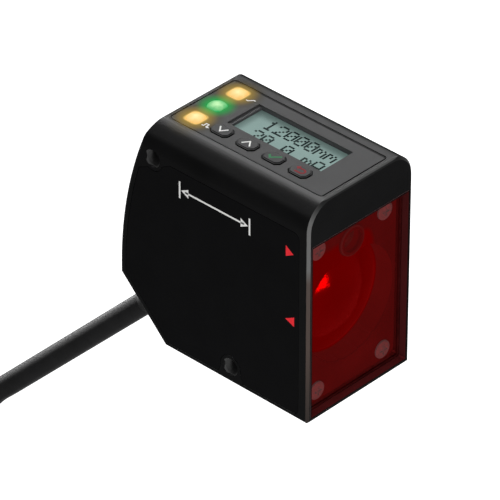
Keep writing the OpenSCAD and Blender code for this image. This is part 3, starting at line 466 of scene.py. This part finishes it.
def painted_edge_highlight(material):
    """A painted highlight along the bevel round the front, brightest at its corner. Beside the window the painted
    highlight is warmer, as if lit by the light that comes through the red sheet."""
    tree = material.node_tree
    turned = facing(tree)
    place = parts_of(tree, place_on(tree))
    top = box_of("housing")[1][2]
    bevel = product(tree, rising(tree, turned["Y"], -0.88, -0.78), falling(tree, turned["Y"], -0.68, -0.54))
    front = falling(tree, place["Y"], -27.0 * MM, -26.7 * MM)
    upright = ranged(tree, turned["Z"], 0.30, 0.66, 1.0, 0.15)
    crest = rising(tree, place["Z"], top - 0.50 * MM, top - 0.30 * MM)
    share = largest(tree, product(tree, bevel, front, upright), product(tree, front, crest))
    height = rising(tree, place["Z"], -8 * MM, 50 * MM)
    lay_over(material, share, ramp(tree, height, (0.0, (0.020, 0.017, 0.016)), (0.45, (0.062, 0.046, 0.040)),
        (0.82, (0.068, 0.052, 0.046)), (0.9, (0.115, 0.115, 0.114))))


def glowing_dome(name, centres, core, edge, strength):
    """Tinted plastic lit from below: bright over the lamp and deeper in colour towards its rim."""
    material = finish(name, scaled(edge, 0.3), 0.45, ior=1.04, mottle=(1.2, 0.1), grain=(0.4, 0.05))
    tree = material.node_tree
    spot = place_on(tree)
    away = of_numbers(tree, "MINIMUM", *(of_vectors(tree, "DISTANCE", spot, centre) for centre in centres))
    blotch = ranged(tree, noise(tree, 1.1), NOISE_LOW, NOISE_HIGH, -0.12, 0.12)
    fade = of_numbers(tree, "ADD", rising(tree, away, 0.2 * MM, 2.9 * MM), blotch)
    between = tuple((a + b) / 2 for a, b in zip(core, edge))
    give_light(material, ramp(tree, fade, (0.0, core), (0.45, between), (1.0, edge)), strength)
    return material


def display_finish(name):
    """Grey-green display, evenly lit from its edge, with painted shade along the far and rear edges of its opening."""
    material = finish(name, (0.13, 0.18, 0.17), 0.5, ior=1.04, mottle=(5, 0.04), grain=(0.3, 0.05))
    tree = material.node_tree
    place = parts_of(tree, place_on(tree))
    x, y, _ = box_of("lcd_glass")[1]
    far = ranged(tree, place["X"], x - 4.2 * MM, x - 0.4 * MM, 1.0, 0.55, smooth=True)
    rear = ranged(tree, place["Y"], y - 4.0 * MM, y - 0.6 * MM, 1.0, 0.8, smooth=True)
    give_light(material, light_of(tree, (0.150, 0.215, 0.200), product(tree, far, rear)))
    return material


def bare_material(name):
    """A new material without a shader: the material, its tree and the socket that a shader goes into."""
    material = bpy.data.materials.new(name)
    material.use_nodes = True
    tree = material.node_tree
    tree.nodes.remove(tree.nodes["Principled BSDF"])
    return material, tree, tree.nodes["Material Output"].inputs["Surface"]


def mixed(tree, share, under, over):
    """One shader laid over another by a share."""
    return add(tree, "ShaderNodeMixShader", {0: share, 1: under, 2: over}).outputs[0]


def dull(tree, colour):
    """A plain dull shader."""
    return add(tree, "ShaderNodeBsdfDiffuse", {"Color": colour}).outputs[0]


def mirrored_share(tree, ior):
    """The share of light that a surface mirrors, by the angle at which it is seen."""
    return add(tree, "ShaderNodeFresnel", {"IOR": ior}).outputs[0]


def see_through(tree, cloud_size, tints, rough, mirrored):
    """Clear plastic: light passes straight through, tinted by a haze of two colours, and a share is mirrored."""
    tint = ramp(tree, noise(tree, cloud_size), *zip((NOISE_LOW, NOISE_HIGH), tints))
    clear = add(tree, "ShaderNodeBsdfTransparent", {"Color": tint})
    gloss = add(tree, "ShaderNodeBsdfGlossy", {"Color": (1, 1, 1, 1), "Roughness": rough})
    return mixed(tree, mirrored, clear.outputs[0], gloss.outputs[0])


def sheet_of_window(name):
    """Red window: its faces let tinted light through and reflect where they are seen at a low angle, its cut sides
    are a dull crimson, made lighter by painted light where they face up or down, and a thin black line runs round its
    edge."""
    material, tree, surface = bare_material(name)
    grazing = ranged(tree, mirrored_share(tree, 1.034), 0.004, 0.1, 0.0, 0.3)
    pane = see_through(tree, 9, ((0.80, 0.39, 0.39), (0.84, 0.41, 0.41)), 0.06, grazing)
    turned = facing(tree)
    broad = 0.7  # a broad face is turned at least this much to the front or the rear
    cut_side = of_numbers(tree, "LESS_THAN", unsigned(tree, turned["Y"]), broad)
    # painted light: the cut sides that face up or down are a lighter crimson
    level = rising(tree, unsigned(tree, turned["Z"]), 0.3, 0.7)
    crimson = dull(tree, blended(tree, level, (0.078, 0.050, 0.052), (0.17, 0.090, 0.095)))
    front = of_numbers(tree, "LESS_THAN", turned["Y"], -broad)
    line = product(tree, front, rim_share(tree, "window", "XZ", 0.4))
    sheet = mixed(tree, line, mixed(tree, cut_side, pane, crimson), dull(tree, (0.008, 0.006, 0.006, 1)))
    tree.links.new(sheet, surface)
    return material


def clear_pane(name):
    """Clear thin plastic: light passes straight through, and a little is reflected."""
    material, tree, surface = bare_material(name)
    pane = see_through(tree, 6, ((0.95, 0.96, 0.96), (0.98, 0.98, 0.98)), 0.3, mirrored_share(tree, 1.02))
    tree.links.new(pane, surface)
    return material


# The finishes of this object

LENS_RED = (0.03, 0.0003, 0.0008)
ZINC = {"rough": 0.5, "ior": 1.3, "metal": 0.25, "mottle": (1.5, 0.08), "grain": (0.2, 0.3)}

housing_black = finish("moulded_black_housing", (0.0058, 0.0058, 0.0060), 0.30, ior=1.045, mottle=(14, 0.15),
    grain=(0.35, 0.2))
# Painted light on the housing: a grey sheen on its upward faces, the indicators' glow round them, and a highlight
# along the front bevel
painted_top_sheen(housing_black, (0.076, 0.076, 0.077))
lit_by_indicators(housing_black, 0.3)
painted_edge_highlight(housing_black)
# Painted light: lighter colours on the walls and floor behind the window and in the mounting holes, where shade falls
for low, high, colour in (
    ((-19.2, -25.6, -4.6), (19.2, -16.0, 52.0), (0.13, 0.125, 0.12)),  # the walls behind the window
    ((-19.2, -25.6, -4.6), (19.2, -16.0, -2.0), (0.27, 0.26, 0.26)),  # the floor at their foot
    ((-19.8, -2.3, -2.3), (-12.0, 2.3, 2.3), (0.05, 0.05, 0.05)),  # the lower mounting hole
    ((-19.8, 25.7, 50.9), (-12.0, 30.3, 55.5), (0.05, 0.05, 0.05)),  # the upper mounting hole
):
    painted_light_inside(housing_black, low, high, colour)
label_film = finish("black_label_film", (0.0038, 0.0038, 0.0041), 0.30, ior=1.045, mottle=(9, 0.1), grain=(0.5, 0.1))
panel_grey = lit_by_indicators(
    finish("grey_keypad_film", (0.072, 0.072, 0.073), 0.30, ior=1.05, mottle=(12, 0.05), grain=(0.25, 0.12)))
# painted shade on the keys' sides
key_grey = painted_shade_on_sides(
    finish("grey_key_film", (0.066, 0.066, 0.067), 0.30, ior=1.05, mottle=(5, 0.06), grain=(0.25, 0.12)))
seal_rubber = finish("dark_grey_seal_foam", (0.065, 0.060, 0.060), 0.6, ior=1.1, mottle=(2, 0.2), grain=(0.15, 0.3))
cable_jacket = finish("black_cable_jacket", (0.0168, 0.0168, 0.0171), 0.30, ior=1.030, mottle=(5, 0.12),
    grain=(0.5, 0.12))
boot_rubber = finish("black_boot_rubber", (0.009, 0.009, 0.009), 0.5, ior=1.1, mottle=(3, 0.15), grain=(0.3, 0.2))
plug_black = finish("black_plug_moulding", (0.011, 0.011, 0.011), 0.45, ior=1.22, mottle=(4, 0.15), grain=(0.25, 0.25))
insert_black = finish("black_contact_insert", (0.012, 0.012, 0.013), 0.4, ior=1.3, mottle=(2, 0.15), grain=(0.2, 0.2))
ring_metal = finish("nickel_plated_brass", (0.34, 0.33, 0.31), 0.30, metal=1.0, mottle=(3, 0.08), grain=(0.2, 0.15))
contact_gold = finish("gold_plated_contacts", (0.86, 0.62, 0.24), 0.2, metal=1.0, mottle=(1, 0.06), grain=(0.1, 0.1))
screw_steel = finish("zinc_plated_steel", (0.23, 0.20, 0.20), **ZINC)
# Painted glow: the parts behind the window give off light of their own
optics_steel = painted_glow(finish("zinc_plated_optics_screws", (0.23, 0.21, 0.21), **ZINC), (0.036, 0.145, 0.142), 1.5)
holder_plastic = painted_glow(
    finish("lens_holder_plastic", (0.064, 0.007, 0.008), 0.5, ior=1.06, mottle=(7, 0.1), grain=(0.3, 0.2)),
    (0.066, 0.017, 0.016), 7)
# painted glow in the bore, a painted highlight round the emitter's mouth, and the lens's red with painted glow above
# the bore
red_round_the_bore(bore_and_rim_light(holder_plastic))
lens_acrylic = painted_glow(
    finish("red_receiver_lens", LENS_RED, 0.12, ior=1.25, mottle=(10, 0.05), grain=(2, 0.01), gleam=(1, 0.02, 0.03)),
    (0.145, 0.0002, 0.0006), 10)
emitter_acrylic = painted_glow(
    finish("red_emitter_lens", (0.05, 0.007, 0.009), 0.15, ior=1.2, mottle=(3, 0.05), grain=(1, 0.01)),
    (0.062, 0.028, 0.024), 3)
board_green = finish("green_board_lacquer", (0.012, 0.075, 0.022), 0.35, mottle=(3, 0.25), grain=(0.4, 0.3))
part_black = finish("black_parts_plastic", (0.015, 0.015, 0.016), 0.5, mottle=(1, 0.2), grain=(0.15, 0.2))
white_plastic = finish("white_moulded_plastic", (0.62, 0.61, 0.57), 0.45, mottle=(3, 0.05), grain=(0.2, 0.15))
led_white = finish("led_casting_resin", (0.70, 0.62, 0.38), 0.3, mottle=(0.8, 0.1), grain=(0.1, 0.1))
gold_can = finish("brass_laser_can", (0.75, 0.55, 0.24), 0.3, metal=1.0, mottle=(1, 0.1), grain=(0.1, 0.15))
ribbon_film = finish("amber_ribbon_film", (0.42, 0.16, 0.03), 0.3, mottle=(2, 0.12), grain=(0.3, 0.2))
print_white = finish("white_screen_print", (0.86, 0.86, 0.84), 0.5, ior=1.06, mottle=(1, 0.03), grain=(0.1, 0.1))
print_green = finish("green_screen_print", (0.055, 0.215, 0.10), 0.5, ior=1.06, mottle=(1, 0.1), grain=(0.1, 0.1))
print_red = finish("red_screen_print", (0.80, 0.032, 0.042), 0.5, ior=1.06, mottle=(1, 0.08), grain=(0.1, 0.1))
key_red = finish("dull_red_screen_print", (0.24, 0.028, 0.034), 0.5, ior=1.06, mottle=(1, 0.08), grain=(0.1, 0.1))
dot_ink = finish("dark_display_dots", (0.004, 0.013, 0.013), 0.5, ior=1.02, mottle=(0.6, 0.15), grain=(0.1, 0.05))
amber_light = glowing_dome("amber_indicator", AMBER, (0.97, 0.88, 0.47), (0.88, 0.52, 0.15), 0.9)
green_light = glowing_dome("green_indicator", GREEN, (0.68, 1.0, 0.55), (0.03, 0.40, 0.11), 0.9)
red_acrylic = sheet_of_window("red_window_acrylic")
clear_acrylic = clear_pane("clear_display_window")
display_glass = display_finish("display_glass")

# A thin black line of painted shade runs along the panel's edge, faint on the near side, and painted light makes the
# walls of the display's opening pale
edge_shade_line = rim_share(panel_grey.node_tree, "top_panel", "XY", 0.22, far_width=0.6, near_share=0.15)
lay_over(panel_grey, edge_shade_line, BLACK_INK)
opening_low, opening_high = box_of("display_window") / MM
for material in (housing_black, panel_grey):
    painted_light_inside(material, opening_low - (0.9, 0.9, 4), opening_high + (0.9, 0.9, 0.9), (0.085, 0.085, 0.088))


# The cable: a round jacket along the same route as in the construction model

START = np.array((0, 50.15, -12.85))
STEPS = np.array([
    (0, 0), (7, 7), (14, 14), (21, 21), (28, 28), (35, 35), (42, 42), (49, 49), (56, 56),
    (62, 62), (66.5, 68), (69.2, 74.8), (70, 82), (70, 92), (70, 102), (70, 112), (70, 122),
])
ROUTE = (START + np.stack([0 * STEPS[:, 0], STEPS[:, 0], -STEPS[:, 1]], 1)) * MM
CABLE_D = 6.7 * MM


def smooth_route(points, steps):
    """A Catmull-Rom line: between two points it is the cubic whose slopes are half the chord of their neighbours."""
    before = np.vstack([points[:1], points[:-1]])[:-1]
    here, there = points[:-1], points[1:]
    after = np.vstack([points[2:], points[-1:]])
    f = np.linspace(0, 1, steps, endpoint=False)[None, :, None]
    before, here, there, after = (p[:, None] for p in (before, here, there, after))
    line = 0.5 * (2 * here + (there - before) * f + (2 * before - 5 * here + 4 * there - after) * f ** 2
        + (3 * here - before - 3 * there + after) * f ** 3)
    return np.vstack([line.reshape(-1, 3), points[-1:]])


def cable_tube(line, radius, sides):
    """Circles square to a line in the plane x = 0, each at c + r (cos a X + sin a U), where U = X x along. The first
    is square to the boot's slope and the last is level, on the plug."""
    along = np.gradient(line, axis=0)
    along[0], along[-1] = (0, 1, -1), (0, 0, -1)
    along /= np.linalg.norm(along, axis=1)[:, None]
    x = np.array([1.0, 0, 0])
    up = np.cross(x, along)
    a = np.linspace(0, 2 * np.pi, sides, endpoint=False)
    rings = line[:, None] + radius * (np.cos(a)[None, :, None] * x + np.sin(a)[None, :, None] * up[:, None])
    last = (len(line) - 1) * sides
    ends = [list(range(sides))[::-1], [last + k for k in range(sides)]]
    return rings.reshape(-1, 3), grid_faces(len(line), sides) + ends


route_line = smooth_route(ROUTE, steps=8)
cable = mesh_piece("cable_jacket", *cable_tube(route_line, CABLE_D / 2, sides=32), "sensor", "cable_jacket",
    cable_jacket)
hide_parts("cable")

boot = dressed("strain_relief", "sensor", boot_rubber, edge=0.1)
plug = dressed("connector_body", "sensor", plug_black, edge=0.15)
insert = dressed("contact_insert", "sensor", insert_black, edge=0.1)
pins = dressed("contact_pins", "sensor", contact_gold, edge=0.15)
ring = dressed("coupling_ring", "ring", ring_metal)


# The body, window, panel and keys

KEYS = ("down", "up", "enter", "back")
top_pieces = [dressed("housing", "sensor", housing_black, edge=0.16)]
dressed("side_label", "sensor", label_film, edge=0.06)
top_pieces.append(dressed("top_panel", "sensor", panel_grey, edge=0.08))
top_pieces += [dressed(key + "_key", key + "_button", key_grey) for key in KEYS]
dressed("amber_light_pipes", "sensor", amber_light, edge=0.35, angle=25)
dressed("green_light_pipe", "sensor", green_light, edge=0.35, angle=25)
dressed("window", "sensor", red_acrylic, edge=0.1)
dressed("window_gasket", "sensor", seal_rubber, edge=0.06)
dressed("lens_holder", "sensor", holder_plastic)
dressed("optics_screws", "sensor", optics_steel)
dressed("emitter_lens", "sensor", emitter_acrylic, edge=0)
lens = dressed("receiver_lens", "sensor", lens_acrylic, edge=0, angle=30)
dressed("display_window", "sensor", clear_acrylic, edge=0)
dressed("lcd_glass", "sensor", display_glass, edge=0.05)

# Construction solids that stay as they are get their finish
for nodes, slot, look in (
    (["lcd_frame", "wire_block"], "white_plastic", white_plastic),
    ([key + "_plunger" for key in KEYS], "white_plastic", white_plastic),
    (["display_board", "laser_board", "detector_board", "main_board"], "board_green", board_green),
    (["display_screws", "main_board_screws"], "screw_steel", screw_steel),
    (["switch_cases", "board_parts", "board_header", "photodiode"], "switch_black", part_black),
    (["receiver_barrel"], "holder_plastic", part_black),
    (["led_chips"], "led_white", led_white),
    (["laser_diode"], "gold_can", gold_can),
    (["display_ribbon"], "ribbon_film", ribbon_film),
    (["inner_lead"], "cable_jacket", cable_jacket),
):
    for node in nodes:
        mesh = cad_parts[node].data
        mesh.materials.clear()
        mesh.materials.append(look)


# Prints: thin raised strokes. u runs from left to right as read, v upwards, both in millimetres

INK = 0.03 * MM
TO_ORIGIN = (19.85, 27.8, 5.0)  # from the body's left, front and lower faces, in millimetres
panel_top = box_of("top_panel")[1][2]
label_face = box_of("side_label")[0][0]


def on_top(x, y, height):
    """Places (u, v) round a point of the top: u runs towards the front and v to the right."""
    return lambda u, v, rise: np.stack([x + v, y - u, height + rise], -1)


def top_spot(x, y, height):
    """A place on the top, from millimetres right of the left side and behind the front."""
    return on_top((x - TO_ORIGIN[0]) * MM, (y - TO_ORIGIN[1]) * MM, height)


def label_spot(y, z):
    """A place on the left side, from millimetres behind the front and above the base: u runs towards the front and
    v upwards."""
    y, z = (y - TO_ORIGIN[1]) * MM, (z - TO_ORIGIN[2]) * MM
    return lambda u, v, rise: np.stack([label_face - rise, y - u, z + v], -1)


def stroke(path, width):
    """A flat band along a path: each corner's two edge points lie on the bisector, half a width from both sides."""
    p = np.asarray(path, float)
    ahead = np.roll(p, -1, 0) - p
    behind = p - np.roll(p, 1, 0)
    ahead[-1], behind[0] = behind[-1], ahead[0]
    unit = lambda v: v / np.linalg.norm(v, axis=1)[:, None]
    n1 = np.stack([-unit(ahead)[:, 1], unit(ahead)[:, 0]], 1)
    n0 = np.stack([-unit(behind)[:, 1], unit(behind)[:, 0]], 1)
    n = unit(n0 + n1)
    reach = (width / 2) / np.clip((n * n1).sum(1), 0.4, 1)
    left, right = p + n * reach[:, None], p - n * reach[:, None]
    count = len(p)
    return np.vstack([left, right]), [(i + 1, i, count + i, count + i + 1) for i in range(count - 1)]


def filled(points):
    """A filled outline."""
    return np.asarray(points, float), [tuple(range(len(points)))]


def arc(radius, start, stop, count, centre):
    """Points round a circle from one angle to another, in degrees."""
    a = np.radians(np.linspace(start, stop, count))
    return np.stack([centre[0] + radius * np.cos(a), centre[1] + radius * np.sin(a)], 1)


def raised(outlines, place):
    """Flat shapes, pairs of points and faces, lifted by the ink's thickness with a wall round each, as one mesh."""
    points, faces, start = [], [], 0
    for flat, tops in outlines:
        flat = flat * MM
        n = len(flat)
        points += [place(flat[:, 0], flat[:, 1], np.full(n, INK)), place(flat[:, 0], flat[:, 1], np.zeros(n))]
        sides = {(a, b) for face in tops for a, b in zip(face, face[1:] + face[:1])}
        for face in tops:
            faces += [[start + k for k in face], [start + n + k for k in reversed(face)]]
        faces += [[start + b, start + a, start + n + a, start + n + b] for a, b in sides if (b, a) not in sides]
        start += 2 * n
    return np.vstack(points), faces


def print_on(name, outlines, place, body, ink, slot="label_film"):
    """A printed sign as one piece, with its faces turned outwards."""
    mesh = mesh_piece(name, *raised(outlines, place), body, slot, ink).data
    form = bmesh.new()
    form.from_mesh(mesh)
    bmesh.ops.recalc_face_normals(form, faces=form.faces)
    form.to_mesh(mesh)
    form.free()


KEY_SIGNS = {
    "down": (print_white, [stroke([(-1.4, 0.95), (0, -0.9), (1.4, 0.95)], 0.42)]),
    "up": (print_white, [stroke([(-1.4, -0.95), (0, 0.9), (1.4, -0.95)], 0.42)]),
    "enter": (print_green, [stroke([(-1.6, 0.1), (-0.55, -0.95), (1.75, 1.2)], 0.62)]),
    "back": (key_red, [
        stroke([(-0.9, 0.75), (0.7, 0.75), *arc(0.85, 90, -90, 9, (0.75, -0.1)), (-1.2, -0.95)], 0.5),
        filled([(-1.95, 0.75), (-0.85, 1.6), (-0.85, -0.1)])]),
}
for key, (ink, shapes) in KEY_SIGNS.items():
    x, y, _ = middle(key + "_key")
    print_on(key + "_sign", shapes, on_top(x, y, box_of(key + "_key")[1][2]), key + "_button", ink)

print_on("analog_sign", [stroke([(-1.15, -0.55), (-0.5, -0.55), (0.5, 0.6), (1.15, 0.6)], 0.32)],
    top_spot(26.9, 45.95, panel_top), "sensor", print_white)
print_on("switching_sign", [
    stroke([(-1.35, -0.6), (-0.7, -0.6), (-0.7, 0.6), (0.2, 0.6), (0.2, -0.6), (0.6, -0.6)], 0.32),
    filled([(0.45, -1.05), (1.3, -0.6), (0.45, -0.15)]),
], top_spot(10.4, 46.0, panel_top), "sensor", print_white)
print_on("distance_sign", [
    stroke([(-10.6, 0), (10.6, 0)], 0.55),
    filled([(-12.0, 0), (-9.4, 1.35), (-9.4, -1.35)]), filled([(12.0, 0), (9.4, -1.35), (9.4, 1.35)]),
    stroke([(-12.55, -2.6), (-12.55, 2.6)], 0.55), stroke([(12.55, -2.6), (12.55, 2.6)], 0.55),
], label_spot(33.4, 53.0), "sensor", print_white)
for name, corners in (
    ("upper_aim_mark", [(8.0, 53.45), (5.3, 51.65), (8.0, 50.1)]),
    ("lower_aim_mark", [(8.1, 30.45), (4.96, 32.2), (4.95, 29.2)]),
):
    print_on(name, [filled([(-y, z) for y, z in corners])], label_spot(0, 0), "sensor", print_red)


# The display's reading, in cells of five by seven dots

GLYPHS = {
    "0": "01110 10001 10011 10101 11001 10001 01110",
    "1": "00100 01100 00100 00100 00100 00100 01110",
    "2": "01110 10001 00001 00010 00100 01000 11111",
    "m": "00000 00000 11010 10101 10101 10001 10001",
    "A": "01110 10001 10001 10001 11111 10001 10001",
    ".": "00000 00000 00000 00000 00000 01100 01100",
    " ": "00000 00000 00000 00000 00000 00000 00000",
}
HALF_DOT = 0.30
DOT_PITCH, CELL_PITCH, LINE_PITCH = 0.66, 3.6, 5.75


def reading(lines):
    """Square dots of a reading: the dot in column i and row j of a cell lies i and j pitches from its corner."""
    spots = [
        (cell * CELL_PITCH + i * DOT_PITCH, -row * LINE_PITCH - j * DOT_PITCH)
        for row, line in enumerate(lines) for cell, sign in enumerate(line)
        for j, bits in enumerate(GLYPHS[sign].split()) for i, bit in enumerate(bits) if bit == "1"
    ]
    square = HALF_DOT * np.array([(-1, -1), (1, -1), (1, 1), (-1, 1)])
    return [(square + spot, [(0, 1, 2, 3)]) for spot in spots]


print_on("display_reading", reading([" 12000mm", " 20.0 mA"]), top_spot(25.95, 40.7, box_of("lcd_glass")[1][2]),
    "sensor", dot_ink, "display_glass")


# Floor, background and light

FLOOR_HALF, FLOOR_HEIGHT = 8.0, -0.30
FLOOR_GLOW = 0.85  # added to the lamps' light on the floor, which then shows as white
WORLD_LIGHT = 0.42  # how brightly the world lights the object


def shown_share(tree):
    """1 for rays from the camera and for mirrored or bent ones, which show the background as it is painted."""
    path = add(tree, "ShaderNodeLightPath").outputs
    return largest(tree, path["Is Camera Ray"], path["Is Glossy Ray"], path["Is Transmission Ray"])


def pale_floor():
    """A wide plane below the plug: pale, lit by the lamps, and shown as white but for the object's shadow."""
    mesh = bpy.data.meshes.new("floor")
    corners = ((-1, -1), (1, -1), (1, 1), (-1, 1))
    mesh.from_pydata([(x * FLOOR_HALF, y * FLOOR_HALF, FLOOR_HEIGHT) for x, y in corners], [], [(0, 1, 2, 3)])
    floor = bpy.data.objects.new("floor", mesh)
    bpy.context.collection.objects.link(floor)
    paint = bpy.data.materials.new("pale_floor")
    paint.use_nodes = True
    tree = paint.node_tree
    shader = shader_of(paint)
    shader.inputs["Base Color"].default_value = (0.5, 0.5, 0.5, 1)
    shader.inputs["Roughness"].default_value = 1.0
    shader.inputs["Specular IOR Level"].default_value = 0.0
    shader.inputs["Emission Color"].default_value = (1, 1, 1, 1)
    tree.links.new(product(tree, shown_share(tree), FLOOR_GLOW), shader.inputs["Emission Strength"])
    mesh.materials.append(paint)


def white_surround():
    """A world that is seen and mirrored as white and lights the object softly."""
    world = bpy.data.worlds.new("studio")
    world.use_nodes = True
    tree = world.node_tree
    background = tree.nodes["Background"]
    background.inputs["Color"].default_value = (1, 1, 1, 1)
    level = ranged(tree, shown_share(tree), 0.0, 1.0, WORLD_LIGHT, 1.0)
    tree.links.new(level, background.inputs["Strength"])
    bpy.context.scene.world = world


def lamp(name, centre, size, radiance, aim=(0, 0, 0), long_axis=(0, 0, 1), colour=(1, 1, 1), sheen_on=()):
    """A rectangular soft light. Its power is pi times its area times the radiance it has when looked at. Where it is
    given pieces, it lights their gloss alone."""
    light = bpy.data.lights.new(name, "AREA")
    light.shape = "RECTANGLE"
    light.size, light.size_y = size
    light.energy = math.pi * size[0] * size[1] * radiance
    light.color = colour
    holder = bpy.data.objects.new(name, light)
    centre = Vector(centre)
    away = (centre - Vector(aim)).normalized()
    across = Vector(long_axis).cross(away).normalized()
    holder.matrix_world = Matrix((across, away.cross(across), away)).transposed().to_4x4()
    holder.location = centre
    if sheen_on:
        holder.visible_diffuse = False
        receivers = bpy.data.collections.new(name + "_receivers")
        holder.light_linking.receiver_collection = receivers
        for piece in sheen_on:
            receivers.objects.link(piece)
    bpy.context.collection.objects.link(holder)


def studio_lights():
    """Two lamps light everything: a wide soft box behind and above, which the top mirrors, and a tall narrow strip
    at the front left, for the edges. Four light only the gloss of some pieces: the body's shoulders, its left side,
    the upper side of the cable, and a red glint on the lens."""
    lamp("rear_soft_box", centre=(0.62, 0.59, 0.64), size=(0.52, 0.44), radiance=13.5)
    lamp("shoulder_sheen", centre=(0.122, 0.568, 0.814), size=(0.6, 0.46), radiance=100.0,
        long_axis=(0.948, 0, -0.317), sheen_on=top_pieces)
    lamp("side_sheen", centre=(-0.5, 0.568, 0.66), size=(0.5, 0.7), radiance=18.0,
        long_axis=(0.8, 0, 0.6), sheen_on=top_pieces)
    lamp("cable_sheen", centre=(0, 0.93, -0.215), size=(0.95, 0.14), radiance=34.0, sheen_on=[cable, boot])
    lamp("lens_glint", centre=(0.060, -0.617, 0.008), size=(0.20, 0.15), radiance=190.0,
        aim=(-0.008, -0.021, 0.031), colour=(1.0, 0.05, 0.05), sheen_on=[lens])
    strip_distance, strip_width = 0.36, 0.06
    low_end = Vector((-0.568, -0.597, -0.567)) * strip_distance
    high_end = Vector((-0.387, -0.823, 0.417)) * strip_distance
    along = high_end - low_end
    lamp("edge_strip", centre=(low_end + high_end) / 2, size=(strip_width, along.length), radiance=12.0,
        long_axis=along)


pale_floor()
white_surround()
studio_lights()

bpy.context.scene.view_settings.view_transform = "Standard"
